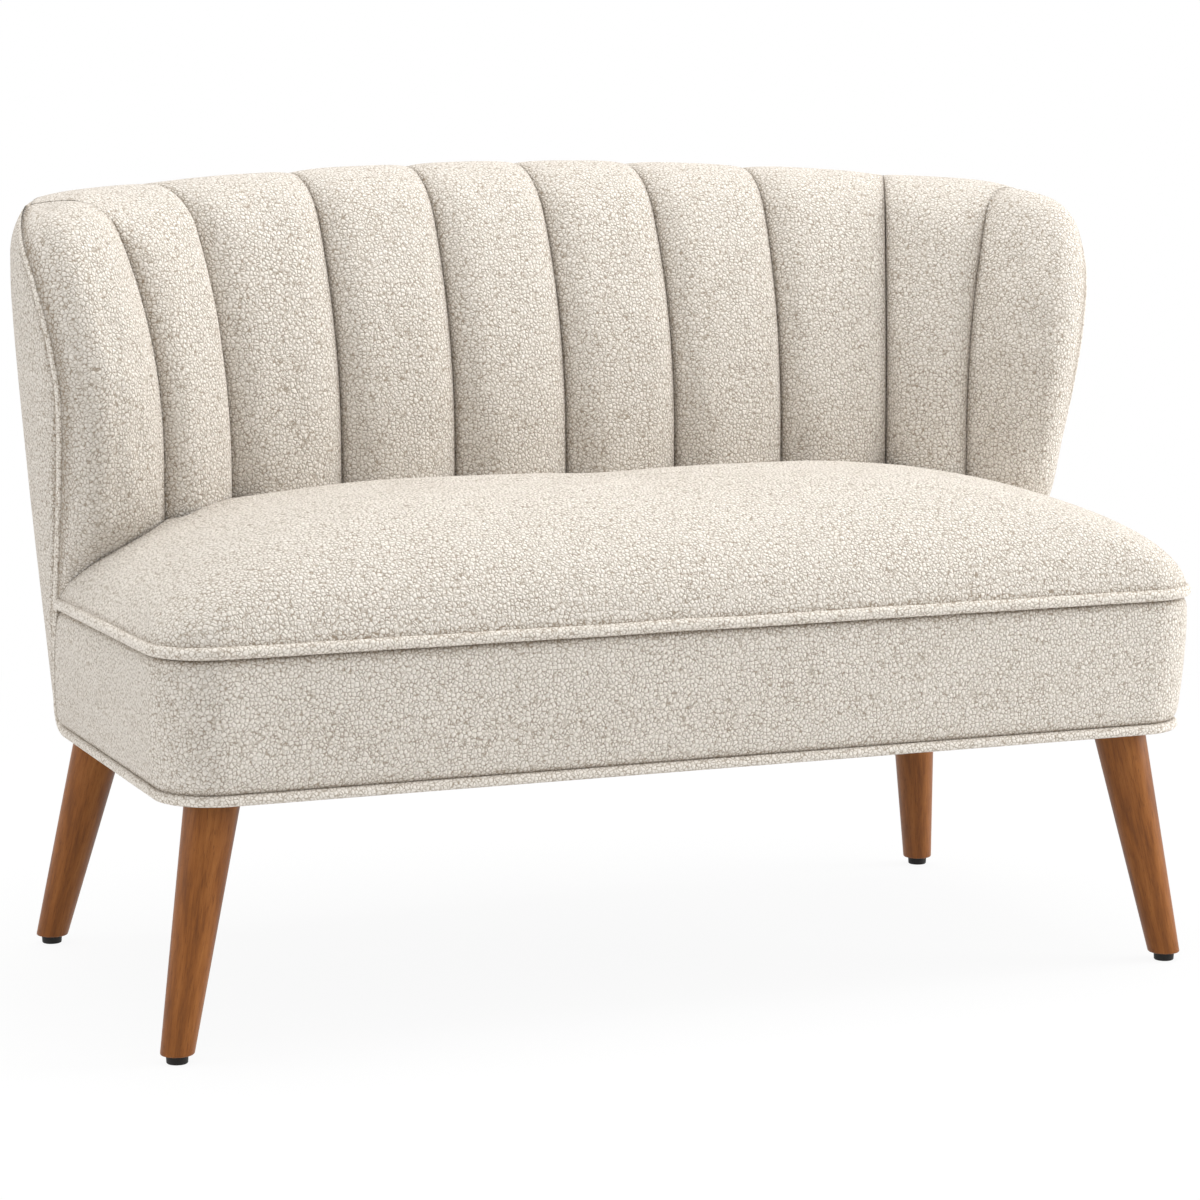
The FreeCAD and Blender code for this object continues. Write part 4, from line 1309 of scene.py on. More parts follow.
@dataclass
class OuterPanel:
    """Padded panel wrapped round the outside of the back, from the base to the top edge."""

    form: Form
    cover: Finish
    levels: int = 96
    corner_steps: int = 44
    rear_steps: int = 130
    thickness: float = 0.008
    edge_room: float = 0.0015
    under_hem: float = 0.0086
    edge_roll: float = 0.0032
    edge_width: float = 0.007
    seam_width: float = 0.0058
    foot_round: float = 0.022
    foot_room: float = 0.0005
    uneven: float = 0.0015
    even_width: float = 0.05

    def build(self) -> bpy.types.Object:
        """Builds the panel with turned edges.

        Returns:
            The piece.
        """
        form = self.form
        low, high = form.underside + self.foot_room, form.shoulder_z - self.edge_room
        heights = form.edge_heights(low, high, self.levels)
        rows = []
        for z in heights:
            wall = WallPlan(form, z)
            short = max(0.0, self.foot_round - (z - form.underside))
            back = self.foot_round - math.sqrt(self.foot_round**2 - short**2)
            start = wall.angle_at(form.wing_edge_y(z)) + (self.edge_room + back) / wall.radius
            rows.append(wall.path(start, self.corner_steps, self.rear_steps))
        grid = np.array(rows)
        along = np.gradient(grid, axis=1)
        up = np.gradient(grid, axis=0)
        outward = unit(np.cross(along, up))
        from_end = to_nearer_end(grid)
        from_top = np.array([running_length(column) for column in grid.transpose(1, 0, 2)]).T
        from_foot, from_top = from_top, from_top[-1:] - from_top
        near = np.minimum(np.minimum(from_end, from_top) - self.under_hem, from_foot)
        grid = grid - outward * (self.edge_roll * (1 - smooth_step(near / self.edge_width)))[..., None]
        held = smooth_step(near / self.even_width)[..., None]
        grid = Workshop.uneven(grid, outward * held, self.uneven, 5.0, 31.0)
        # Painted shade: darker pile along the hem, the top edge and the foot.
        wear_and_painted_shade = 1 - smooth_step((near - self.seam_width / 2) / (self.seam_width / 2))
        piece = Workshop.skin("outer_back_cover", grid, False, False, wear_and_painted_shade)
        Workshop.applied(piece, "SOLIDIFY", thickness=self.thickness, offset=-1.0, use_even_offset=False)
        return Workshop.dressed(piece, self.cover, "cover", ["outer_back_panel"])


@dataclass
class TightSeat:
    """Domed seat, sewn to the piping and tucked against the back."""

    form: Form
    cover: Finish
    reach_side: float = 0.330
    reach_front: float = 0.200
    reach_rear: float = 0.185
    rear_tuck: float = 0.055
    corner_growth: float = 1.2
    corner_limit: float = 0.6
    rear_radius: float = 0.025
    rear_limit: float = 0.35
    gap: float = 0.001
    rings: int = 44
    tucked_rings: Sequence[Tuple[float, float]] = ((0.012, 0.05), (0.004, 0.012))
    crown_rings: Sequence[float] = (0.9, 0.8, 0.7, 0.6, 0.5, 0.4, 0.3, 0.2, 0.1, 0.02)
    uneven: float = 0.0014
    even_height: float = 0.05
    seam_height: float = 0.004
    seam_fade: float = 0.006
    pressed_in: float = 0.93
    contact_shade: float = 0.35
    slack: float = 0.004
    swell_cap: float = 0.006

    def ring(self, z: float, drawn: float) -> np.ndarray:
        """Level outline of the dome.

        Args:
            z: Height.
            drawn: Share of the reach by which the outline is drawn in.

        Returns:
            Points once round, anticlockwise from above.
        """
        form = self.form
        plan = BasePlan(form, form.band_top)
        front = plan.front + self.reach_front * drawn
        half = plan.centre[0] + plan.radius - self.reach_side * drawn
        rear = form.seam_y + self.rear_tuck - self.reach_rear * drawn
        radius = min(form.front_corner * (1 + self.corner_growth * drawn), self.corner_limit * (rear - front))
        tight = min(self.rear_radius, self.rear_limit * (rear - front))
        runs = []
        across = np.linspace(-(half - radius), half - radius, 121)[:-1]
        runs.append(np.stack([across, np.full_like(across, front)], axis=1))
        turn = np.linspace(-math.pi / 2, 0.0, 25)[:-1]
        corner = np.array([half - radius, front + radius])
        runs.append(corner + radius * on_circle(turn))
        deep = np.linspace(front + radius, rear - tight, 45)
        splay = plan.along[0] / plan.along[1] * (1 - drawn)
        sides = half + splay * (deep - deep[0])
        runs.append(np.stack([sides, deep], axis=1)[:-1])
        half = sides[-1]
        turn = np.linspace(0.0, math.pi / 2, 9)
        tail = np.array([half - tight, rear - tight])
        runs.append(tail + tight * on_circle(turn))
        right = np.concatenate(runs)
        across = np.linspace(half - tight, -(half - tight), 121)[1:-1]
        back = np.stack([across, np.full_like(across, rear)], axis=1)
        mirrored = np.concatenate(runs[1:])[::-1] * MIRROR[:2]
        flat = np.concatenate([right, back, mirrored])
        return np.concatenate([flat, np.full((len(flat), 1), z)], axis=1)

    def back_line(self, z: float) -> np.ndarray:
        """Line of the back that the seat is pressed against.

        Args:
            z: Height.

        Returns:
            Line of the back that the seat is pushed against.
        """
        form = self.form
        feet = [SeamLine(form, x).foot for x in form.seam_places() if x >= -1e-9]
        edge = form.wing_edge(max(z, form.wing_foot_z))[0][:2]
        points = []
        across = np.linspace(-1.0, 1.0, 40)
        for index, (start, end) in enumerate(zip(feet, [*feet[1:], edge])):
            wing = index == len(feet) - 1
            along = unit(end - start)
            line = start + (end - start) * ((across + 1) / 2)[:, None]
            bulge = form.wing_bulge * float(form.wing_fullness(np.array(z))) if wing else form.bulge
            crest = form.pillow(across, form.wing_crest) if wing else np.full_like(across, self.pressed_in)
            points.append(line + np.array([along[1], -along[0]]) * (bulge * crest)[:, None])
        return np.concatenate(points)

    def build(self) -> bpy.types.Object:
        """Builds the seat.

        Returns:
            The piece.
        """
        form = self.form
        crown = form.crown - self.slack
        rows = [self.ring(form.piping_z - below, drawn) for below, drawn in self.tucked_rings]
        for angle in np.linspace(0.03, math.pi / 2, self.rings):
            rows.append(self.ring(form.piping_z + crown * math.sin(angle), 1 - math.cos(angle)))
        top = rows[-1]
        middle = np.array([0.0, float(top[:, 1].mean()), 0.0])
        for share in self.crown_rings:
            shrunk = top.copy()
            shrunk[:, :2] = middle[:2] + (top[:, :2] - middle[:2]) * share
            rows.append(shrunk)
        grid = np.array(rows)
        up = np.broadcast_to(np.array([0.0, 0.0, 1.0]), grid.shape)
        held = np.clip((grid[..., 2] - form.piping_z) / self.even_height, 0.0, 1.0)
        grid = Workshop.uneven(grid, up * held[..., None], self.uneven, 6.0, 51.0)
        # Painted shade: darker pile just above the piping and where the seat meets the back.
        wear_and_painted_shade = 1 - smooth_step((grid[..., 2] - form.piping_z - self.seam_height) / self.seam_fade)
        for row, painted_shade in zip(grid, wear_and_painted_shade):
            line = self.back_line(float(row[0, 2]))
            order = np.argsort(line[:, 0])
            limit = np.interp(np.abs(row[:, 0]), line[order, 0], line[order, 1]) - self.gap
            painted_shade[row[:, 1] > limit] = self.contact_shade
            row[:, 1] = np.minimum(row[:, 1], limit)
        piece = Workshop.skin("seat_cover", grid, True, True, wear_and_painted_shade)
        Workshop.swell(piece, self.swell_cap)
        return Workshop.dressed(piece, self.cover, "cover", ["seat_cushion"])


@dataclass
class BaseCover:
    """Band round the base, piping above it, welt below it that runs on up the wing edges as a hem."""

    form: Form
    cover: Finish
    trim: Finish
    lining: Finish
    band_thickness: float = 0.012
    band_foot: float = 0.008
    band_over: float = 0.001
    end_room: float = 0.002
    puff: float = 0.0025
    edge_tuck: float = 0.0065
    tuck_power: int = 14
    uneven: float = 0.0012
    shade_foot: float = 0.010
    shade_width: float = 0.006
    piping_inset: float = 0.0015
    cord_waves: float = 14.0
    cord_drift: float = 0.0008
    cord_swell: float = 0.05
    welt_sunk: float = 0.002
    welt_narrows: Tuple[float, float] = (0.045, 0.035)
    hem_radius: float = 0.0044
    hem_corner: float = 0.022
    hem_behind: float = 0.0048
    hem_sunk: float = 0.0026
    hem_slope: float = 0.7
    hem_foot: float = 0.012
    staple_margin: float = 0.014
    cloth_inside: float = 0.0006
    cloth_sag: float = 0.0016

    def band(self) -> bpy.types.Object:
        """Slightly padded band, tucked under its cords.

        Returns:
            The piece.
        """
        form = self.form
        low = form.underside + self.band_foot
        rows = []
        for share in 0.5 - 0.5 * np.cos(np.linspace(0.0, math.pi, 46)):
            z = low + (form.band_top + self.band_over - low) * share
            edge = abs(2 * share - 1)
            proud = self.puff * (1 - edge**2) - self.edge_tuck * edge**self.tuck_power
            rows.append(BasePlan(form, z, -proud).path(self.end_room, 60, 24, 190))
        grid = np.array(rows)
        outward = unit(np.cross(np.gradient(grid, axis=0), np.gradient(grid, axis=1)))
        fade = np.sin(np.linspace(0.0, math.pi, len(grid)))
        grid = Workshop.uneven(grid, outward * fade[:, None, None], self.uneven, 8.0, 71.0)
        # Painted shade: darker pile under the piping, above the welt and at the band's ends.
        height = grid[..., 2] - form.underside
        from_end = to_nearer_end(grid)
        from_cords = np.minimum(height - self.shade_foot, form.band_top - form.underside - height)
        wear_and_painted_shade = 1 - smooth_step(np.minimum(from_cords, from_end) / self.shade_width)
        piece = Workshop.skin("border_band_cover", grid, False, False, wear_and_painted_shade)
        self.turn_outwards(piece)
        Workshop.applied(piece, "SOLIDIFY", thickness=self.band_thickness, offset=-1.0)
        return Workshop.dressed(piece, self.cover, "cover", ["border_band"])

    @staticmethod
    def turn_outwards(piece: bpy.types.Object) -> None:
        """Makes the faces of an open skin look away from the middle of the sofa.

        Args:
            piece: The skin.
        """
        total = sum(face.normal.xy.dot(face.center.xy) * face.area for face in piece.data.polygons)
        if total < 0:
            piece.data.flip_normals()

    def piping(self) -> bpy.types.Object:
        """Fabric-covered cord round the seat's edge.

        Returns:
            The piece.
        """
        form = self.form
        path = BasePlan(form, form.band_top, self.piping_inset).path(self.end_room, 90, 40, 300)
        path[:, 2] = form.piping_z
        wave = np.array([noise.noise(Vector(p) * self.cord_waves) for p in path])
        path[:, 2] += wave * self.cord_drift
        radius = np.full(len(path), form.piping / 2) * (1 + self.cord_swell * wave)
        piece = Workshop.tube("seat_piping_cord", path, radius)
        return Workshop.dressed(piece, self.trim, "piping", ["seat_piping"])

    def hem_path(self) -> np.ndarray:
        """Middle line of the welt: lower edge, up a wing, along the top, down the other wing.

        Returns:
            Points of the closed line, one per row.
        """
        form = self.form
        heights = form.edge_heights(form.underside + self.hem_foot, form.shoulder_z, 170)
        pairs = [form.wing_edge(z) for z in heights]
        edge = np.array([point for point, _ in pairs])
        outward = np.array([direction for _, direction in pairs])
        behind = -unit(np.cross(outward, np.gradient(edge, axis=0)))
        wing = edge + behind * self.hem_behind - outward * self.hem_sunk
        plan = BasePlan(form, form.underside, form.welt / 2 - self.welt_sunk)
        base = plan.path(0.0, 90, 40, 300)
        base[:, 2] = form.underside + form.welt / 2
        corner = base[0]
        length = running_length(base)
        base = base[(length > self.hem_corner) & (length < length[-1] - self.hem_corner)]
        wing = wing[np.linalg.norm(wing - corner, axis=1) > self.hem_corner]
        bend = np.linspace(0.0, 1.0, 14)[1:-1, None]
        turn = base[0] * (1 - bend) ** 2 + corner * 2 * bend * (1 - bend) + wing[0] * bend**2
        right = np.concatenate([turn, wing])
        below, inside = self.hem_behind * self.hem_slope, self.hem_sunk * self.hem_slope
        wall = WallPlan(form, form.shoulder_z - below, inside)
        top = wall.path(wall.angle_at(wing[-1][1]), 30, 160)[1:-1]
        left = right[::-1] * MIRROR
        return np.concatenate([base[::-1], right, top, left])

    def welt(self) -> bpy.types.Object:
        """Welt of the lower edge, continued as the hem of the outer panel.

        Returns:
            The piece.
        """
        loop = self.hem_path()
        path = respaced(np.concatenate([loop, loop[:1]]), 1500)[0][:-1]
        wide = self.form.welt / 2
        up_to, over = self.welt_narrows
        share = smooth_step((self.form.underside + up_to - path[:, 2]) / over)
        radius = self.hem_radius + (wide - self.hem_radius) * share
        piece = Workshop.tube("bottom_welt_cord", path, radius, closed=True)
        return Workshop.dressed(piece, self.trim, "piping", ["bottom_welt"])

    def dust_cover(self) -> bpy.types.Object:
        """Thin cloth stapled under the base.

        Returns:
            The piece.
        """
        form = self.form
        front = BasePlan(form, form.underside, self.staple_margin).path(0.0, 20, 12, 60)
        wall = WallPlan(form, form.underside, self.staple_margin)
        outer = WallPlan(form, form.underside)
        rear = wall.path(outer.angle_at(form.seam_y + form.wing_foot_behind), 16, 60)[::-1]
        loop = np.concatenate([front, rear[1:-1]])
        middle = np.array([0.0, 0.0, form.underside + self.cloth_inside])
        rows = []
        for share in np.linspace(1.0, 0.0, 26):
            ring = middle + (loop - middle) * share
            ring[:, 2] = middle[2] - self.cloth_sag * (1 - share**2)
            rows.append(ring)
        piece = Workshop.skin("dust_cover_cloth", np.array(rows), True, False)
        return Workshop.dressed(piece, self.lining, "lining", ["dust_cover"])

    def build(self) -> None:
        """Builds all the cover pieces of the base."""
        self.band()
        self.piping()
        self.welt()
        self.dust_cover()


@dataclass
class SprungDeck:
    """Webbing and felt under the seat."""

    form: Form
    webbing: Finish
    felt: Finish
    band_width: float = 0.060
    band_thickness: float = 0.0014
    lengthwise_bands: int = 7
    crosswise_bands: int = 2
    weave: float = 0.00022
    weave_length: float = 0.22
    pad_fit: float = 0.985
    pad_share: float = 0.75
    felt_waves: float = 30.0
    felt_uneven: float = 0.0006

    def straps(self, node: str, lengthwise: bool, phase: float) -> bpy.types.Object:
        """Flat bands, each modelled on the CAD bands' places and woven over and under the crossing ones.

        Args:
            node: CAD node that holds the bands.
            lengthwise: Whether the bands run from front to back.
            phase: Sign with which the weave starts.

        Returns:
            The joined bands.
        """
        low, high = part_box(node)
        span = (high.x - low.x, high.y - low.y)
        across = span[0] if lengthwise else span[1]
        count = self.lengthwise_bands if lengthwise else self.crosswise_bands
        pitch = (across - self.band_width) / (count - 1)
        length = span[1] if lengthwise else span[0]
        made = []
        for index in range(count):
            offset = self.band_width / 2 + pitch * index
            centre = Vector((low.x + offset, (low.y + high.y) / 2, (low.z + high.z) / 2))
            if not lengthwise:
                centre = Vector(((low.x + high.x) / 2, low.y + offset, (low.z + high.z) / 2))
            bpy.ops.object.select_all(action="DESELECT")
            bpy.ops.mesh.primitive_grid_add(x_subdivisions=8, y_subdivisions=60, size=1.0, location=centre)
            band = bpy.context.active_object
            size = (self.band_width, length) if lengthwise else (length, self.band_width)
            band.scale = (size[0], size[1], 1.0)
            bpy.ops.object.transform_apply(location=True, rotation=True, scale=True)
            made.append(band)
        bpy.ops.object.select_all(action="DESELECT")
        for band in made:
            band.select_set(True)
        bpy.context.view_layer.objects.active = made[0]
        bpy.ops.object.join()
        piece = bpy.context.active_object
        piece.name = node + "_straps"
        for vertex in piece.data.vertices:
            place = vertex.co.y if lengthwise else vertex.co.x
            vertex.co.z += phase * self.weave * math.sin(place * 2 * math.pi / self.weave_length)
        Workshop.applied(piece, "SOLIDIFY", thickness=self.band_thickness, offset=0.0)
        Workshop.smooth(piece)
        return Workshop.dressed(piece, self.webbing, "webbing", [node])

    def pad(self) -> bpy.types.Object:
        """Felt pad over the webbing.

        Returns:
            The piece.
        """
        low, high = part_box("felt_pad")
        bpy.ops.object.select_all(action="DESELECT")
        middle = ((low.x + high.x) / 2, (low.y + high.y) / 2, (low.z + high.z) / 2)
        bpy.ops.mesh.primitive_grid_add(x_subdivisions=90, y_subdivisions=30, size=1.0, location=middle)
        piece = bpy.context.active_object
        width, depth = (high.x - low.x) * self.pad_fit, (high.y - low.y) * self.pad_fit
        piece.scale = (width, depth, 1.0)
        bpy.ops.object.transform_apply(location=True, rotation=True, scale=True)
        piece.name = "felt_pad_layer"
        centre = Vector(middle)
        radius = self.form.front_corner
        half = Vector((width / 2 - radius, depth / 2 - radius))
        for vertex in piece.data.vertices:
            local = vertex.co - centre
            beyond = Vector((max(0.0, abs(local.x) - half.x), max(0.0, abs(local.y) - half.y)))
            if beyond.x > 0 and beyond.y > 0:
                square = max(beyond.x, beyond.y)
                beyond *= square / beyond.length
                vertex.co.x = centre.x + math.copysign(half.x + beyond.x, local.x)
                vertex.co.y = centre.y + math.copysign(half.y + beyond.y, local.y)
            vertex.co.z += self.felt_uneven * noise.noise(vertex.co * self.felt_waves)
        Workshop.applied(piece, "SOLIDIFY", thickness=(high.z - low.z) * self.pad_share, offset=0.0)
        Workshop.smooth(piece)
        return Workshop.dressed(piece, self.felt, "felt", ["felt_pad"])

    def build(self) -> None:
        """Builds the straps and the pad."""
        self.straps("webbing_lengthwise", True, 1.0)
        self.straps("webbing_crosswise", False, -1.0)
        self.pad()


@dataclass
class Leg:
    """One splayed, tapered leg with its screw-in foot."""

    row: Row
    side: Side
    plastic: Finish
    steel: Finish
    front_top: Tuple[float, float] = (0.455, -0.22025)
    front_foot: Tuple[float, float] = (0.498, -0.24325)
    rear_top: Tuple[float, float] = (0.442, 0.186)
    rear_foot: Tuple[float, float] = (0.483, 0.246)
    top_z: float = 0.231
    foot_z: float = 0.008
    top_radius: float = 0.025
    end_radius: float = 0.015
    edge: float = 0.0016
    glide_radius: float = 0.010
    glide_base: float = 0.0095
    glide_edge: float = 0.0013
    sole_rim: float = 0.0022
    sole_recess: float = 0.0008
    shoulder: float = 0.0006
    stem_radius: float = 0.003
    stem_length: float = 0.022
    thread: float = 0.0011
    thread_root: float = 0.88

    @property
    def place(self) -> str:
        """Name of the leg's corner."""
        return "%s_%s" % (self.row.value, self.side.name.lower())

    def ends(self) -> Tuple[Vector, Vector]:
        """Finds the centres of the leg's two ends.

        Returns:
            The lower and the upper centre.
        """
        front = self.row is Row.FRONT
        plan = (self.front_foot, self.front_top) if front else (self.rear_foot, self.rear_top)
        heights = (self.foot_z, self.top_z)
        low, high = (Vector((x * self.side.value, y, z)) for (x, y), z in zip(plan, heights))
        return low, high

    def turned_leg(self) -> bpy.types.Object:
        """Cone on the leg's axis, sawn level at both ends, its lower rim eased.

        Returns:
            The piece.
        """
        low, high = self.ends()
        axis = (high - low).normalized()
        length = (high - low).length
        extra = 0.03
        slope = (self.top_radius - self.end_radius) / length
        bpy.ops.object.select_all(action="DESELECT")
        bpy.ops.mesh.primitive_cone_add(
            vertices=72,
            radius1=self.end_radius - slope * extra,
            radius2=self.top_radius + slope * extra,
            depth=length + 2 * extra,
            location=(low + high) / 2,
            rotation=axis.to_track_quat("Z", "Y").to_euler(),
        )
        piece = bpy.context.active_object
        piece.name = "leg_%s_turned" % self.place
        bpy.ops.object.transform_apply(location=True, rotation=True, scale=True)
        bpy.ops.object.mode_set(mode="EDIT")
        bpy.ops.mesh.select_all(action="SELECT")
        bpy.ops.mesh.bisect(plane_co=high, plane_no=(0, 0, 1), use_fill=True, clear_outer=True)
        bpy.ops.mesh.select_all(action="SELECT")
        bpy.ops.mesh.bisect(plane_co=low, plane_no=(0, 0, 1), use_fill=True, clear_inner=True)
        bpy.ops.mesh.select_mode(type="EDGE")
        bpy.ops.mesh.select_all(action="DESELECT")
        shaped = bmesh.from_edit_mesh(piece.data)
        for edge in shaped.edges:
            edge.select_set(all(abs(v.co.z - low.z) < 1e-5 for v in edge.verts))
        bmesh.update_edit_mesh(piece.data)
        bpy.ops.mesh.bevel(offset=self.edge, segments=3, affect="EDGES")
        bpy.ops.mesh.select_all(action="SELECT")
        bpy.ops.mesh.normals_make_consistent(inside=False)
        bpy.ops.object.mode_set(mode="OBJECT")
        bpy.ops.object.shade_smooth_by_angle(angle=math.radians(40.0))
        wood = StainedWood(label="stained_wood_" + self.place, axis=tuple(axis), foot=tuple(low))
        return Workshop.dressed(piece, wood, "legs", ["leg_" + self.place])

    def glide(self) -> bpy.types.Object:
        """Foot with a rounded lower edge, a recessed sole and a threaded stem.

        Returns:
            The piece.
        """
        low = self.ends()[0]
        bpy.ops.object.select_all(action="DESELECT")
        bpy.ops.mesh.primitive_cylinder_add(
            vertices=48, radius=self.glide_radius, depth=self.foot_z, location=(low.x, low.y, self.foot_z / 2)
        )
        piece = bpy.context.active_object
        piece.name = "foot_%s_glide" % self.place
        bpy.ops.object.transform_apply(location=True, rotation=True, scale=True)
        bpy.ops.object.mode_set(mode="EDIT")
        bpy.ops.mesh.select_mode(type="FACE")
        self.pick_face(piece, 0.0)
        middle = (low.x, low.y, 0)
        taper = self.glide_base / self.glide_radius
        bpy.ops.transform.resize(value=(taper, taper, 1.0), center_override=middle)
        bpy.ops.mesh.bevel(offset=self.glide_edge, segments=4, affect="EDGES")
        self.pick_face(piece, 0.0)
        bpy.ops.mesh.inset(thickness=self.sole_rim)
        bpy.ops.mesh.extrude_region_move(TRANSFORM_OT_translate={"value": (0, 0, self.sole_recess)})
        self.pick_face(piece, self.foot_z)
        bpy.ops.mesh.inset(thickness=self.shoulder)
        bpy.ops.mesh.inset(thickness=self.glide_radius - self.shoulder - self.stem_radius)
        for turn in range(int(self.stem_length / self.thread)):
            bpy.ops.mesh.extrude_region_move(TRANSFORM_OT_translate={"value": (0, 0, self.thread)})
            grow = self.thread_root if turn % 2 == 0 else 1 / self.thread_root
            bpy.ops.transform.resize(value=(grow, grow, 1.0), center_override=middle)
        bpy.ops.mesh.select_all(action="SELECT")
        bpy.ops.mesh.normals_make_consistent(inside=False)
        bpy.ops.object.mode_set(mode="OBJECT")
        bpy.ops.object.shade_smooth_by_angle(angle=math.radians(35.0))
        Workshop.dressed(piece, self.plastic, "feet", ["foot_" + self.place], "glide_" + self.place)
        piece.data.materials.append(self.steel.material())
        for face in piece.data.polygons:
            face.material_index = int(face.center.z > self.foot_z + 1e-4)
        return piece

    @staticmethod
    def pick_face(piece: bpy.types.Object, z: float) -> None:
        """Selects the level face at a height, in edit mode.

        Args:
            piece: The piece in edit mode.
            z: Height of the face.
        """
        bpy.ops.mesh.select_all(action="DESELECT")
        shaped = bmesh.from_edit_mesh(piece.data)
        flat = [face for face in shaped.faces if abs(face.normal.z) > 0.99]
        level = [face for face in flat if abs(face.calc_center_median().z - z) < 2e-5]
        if level:
            max(level, key=lambda face: face.calc_area()).select_set(True)
        bmesh.update_edit_mesh(piece.data)

    def build(self) -> None:
        """Builds the leg and its foot."""
        self.turned_leg()
        self.glide()


@dataclass
class HiddenFrame:
    """Timber frame, bolts and nuts, kept as the CAD gives them."""

    nodes: Mapping[str, bpy.types.Object]
    steel: Finish
    upright: Sequence[str] = ("back_rib", "wing_post", "corner_block")
    deep: Sequence[str] = ("side_rail", "stretcher")
    long: Sequence[str] = ("front_rail", "rear_rail", "back_plank", "back_rail")

    def dress(self) -> None:
        """Gives every frame node timber with the grain along it, and every fixing its plating."""
        grains = (
            (self.upright, RawTimber(label="timber_upright", drawn=(1.0, 1.0, 0.12))),
            (self.deep, RawTimber(label="timber_deep", drawn=(1.0, 0.12, 1.0))),
            (self.long, RawTimber(label="timber_long", drawn=(0.12, 1.0, 1.0))),
        )
        for name, node in self.nodes.items():
            finish: Optional[Finish] = self.steel if name in ("leg_bolts", "leg_nuts") else None
            for starts, timber in grains:
                if name.startswith(tuple(starts)):
                    finish = timber
            if finish:
                node.data.materials.clear()
                node.data.materials.append(finish.material())
                LOG.info("%s: %s", name, finish.label)


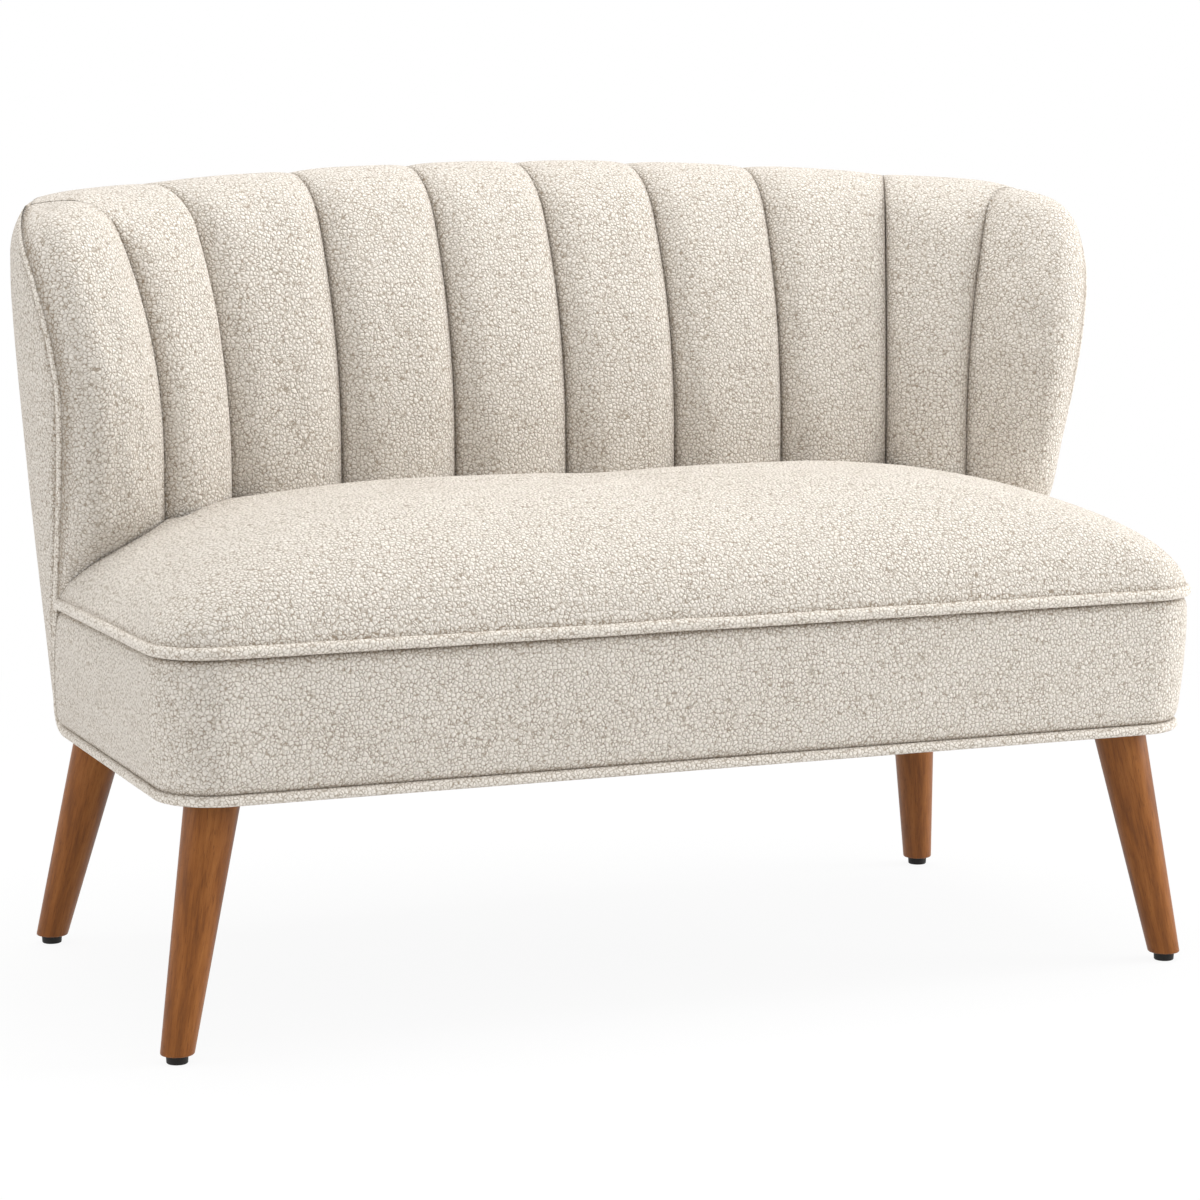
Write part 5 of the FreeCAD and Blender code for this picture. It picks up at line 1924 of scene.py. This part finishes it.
@dataclass
class Studio:
    """White room: pale floor, soft lamps and the camera."""

    camera_at: Tuple[float, float, float] = (-1.39055, -3.32494, 0.86125)
    camera_down: float = math.radians(8.0885)
    camera_turn: float = math.radians(-22.758)
    lens: float = 112.58
    ambient: float = 0.70
    floor_colour: Colour = (0.86, 0.86, 0.86)
    floor_white: float = 0.92
    floor_fade: Tuple[float, float] = (0.7, 1.9)
    lamps: Mapping[str, Tuple[Tuple[float, float, float], float, float]] = field(
        default_factory=lambda: {
            "lamp_right": ((3.45, -0.95, 1.3), 2.2, 94.0),
            "lamp_left": ((-3.3, 0.5, 1.2), 1.8, 22.0),
            "lamp_top": ((0.1, -0.2, 3.0), 2.4, 51.0),
        }
    )
    aim: Tuple[float, float, float] = (0.0, 0.0, 0.42)

    def camera(self) -> None:
        """Sets the camera at the photograph's viewing angle."""
        data = bpy.data.cameras.new("camera")
        data.lens = self.lens
        data.sensor_width = 36.0
        data.clip_end = 50.0
        camera = bpy.data.objects.new("camera", data)
        camera.location = self.camera_at
        camera.rotation_euler = (math.pi / 2 - self.camera_down, 0.0, self.camera_turn)
        bpy.context.scene.collection.objects.link(camera)
        bpy.context.scene.camera = camera

    def light(self) -> None:
        """Hangs the soft lamps, each turned to the sofa."""
        for name, (place, size, power) in self.lamps.items():
            data = bpy.data.lights.new(name, "AREA")
            data.shape = "DISK"
            data.size = size
            data.energy = power
            lamp = bpy.data.objects.new(name, data)
            lamp.location = place
            aim = Vector(self.aim) - Vector(place)
            lamp.rotation_euler = aim.to_track_quat("-Z", "Y").to_euler()
            bpy.context.scene.collection.objects.link(lamp)

    @staticmethod
    def seen(graph: NodeGraph) -> Value:
        """One for rays that show the background directly, in gloss or through glass."""
        path = graph.add("ShaderNodeLightPath")
        return path["Is Camera Ray"].most(path["Is Glossy Ray"]).most(path["Is Transmission Ray"])

    def world(self) -> None:
        """White to the camera, dimmer as light on the object."""
        world = bpy.data.worlds.new("room")
        world.use_nodes = True
        bpy.context.scene.world = world
        graph = NodeGraph(world.node_tree)
        strength = self.ambient + (1.0 - self.ambient) * self.seen(graph)
        back = graph.add("ShaderNodeBackground", None, {"Color": (1.0, 1.0, 1.0), "Strength": strength})
        graph.add("ShaderNodeOutputWorld", None, {"Surface": back["Background"]})

    def floor(self) -> None:
        """Pale floor that keeps a soft shadow."""
        bpy.ops.object.select_all(action="DESELECT")
        bpy.ops.mesh.primitive_plane_add(size=40.0, location=(0.0, 0.0, 0.0))
        plane = bpy.context.active_object
        plane.name = "floor"
        made = bpy.data.materials.new("floor")
        made.use_nodes = True
        graph = NodeGraph(made.node_tree)
        matt = graph.add("ShaderNodeBsdfDiffuse", None, {"Color": self.floor_colour})
        white = graph.add("ShaderNodeEmission", None, {"Color": (1.0, 1.0, 1.0), "Strength": 1.0})
        away = graph.add("ShaderNodeVectorMath", {"operation": "LENGTH"}, {0: graph.place()})["Value"]
        pale = self.floor_white + (1.0 - self.floor_white) * away.ease(*self.floor_fade)
        plugs = {"Fac": self.seen(graph) * pale, 1: matt["BSDF"], 2: white["Emission"]}
        mixed = graph.add("ShaderNodeMixShader", None, plugs)
        graph.add("ShaderNodeOutputMaterial", None, {"Surface": mixed["Shader"]})
        plane.data.materials.append(made)

    def build(self) -> None:
        """Sets up the whole room."""
        scene = bpy.context.scene
        scene.view_settings.view_transform = "Standard"
        self.camera()
        self.light()
        self.world()
        self.floor()


def main() -> None:
    """Builds the sofa from its frame outwards."""
    logging.basicConfig(level=logging.INFO, format="%(message)s")
    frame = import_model()
    form = Form()
    pile = LoopedPile()
    trim = LoopedPile(
        label="looped_pile_trim", light=(0.85, 0.80, 0.73), pebble=0.0036, depth=0.0010, strength=0.6
    )
    plastic = MouldedPlastic()
    steel = PlatedSteel()
    lining = WovenCloth(label="lining_cloth", light=(0.045, 0.045, 0.045), dark=(0.012, 0.012, 0.012))
    webbing = WovenCloth(
        label="webbing_cloth", light=(0.50, 0.42, 0.30), dark=(0.16, 0.12, 0.08), thread=0.0016
    )
    felt = WovenCloth(label="felt_cloth", light=(0.42, 0.40, 0.37), dark=(0.22, 0.21, 0.19), thread=0.004)
    Studio().build()
    HiddenFrame(frame["nodes"], steel).dress()
    SprungDeck(form, webbing, felt).build()
    ChannelledBack(form, pile).build()
    OuterPanel(form, pile).build()
    TightSeat(form, pile).build()
    BaseCover(form, pile, trim, lining).build()
    for row in Row:
        for side in Side:
            Leg(row, side, plastic, steel).build()


if __name__ == "__main__":
    main()
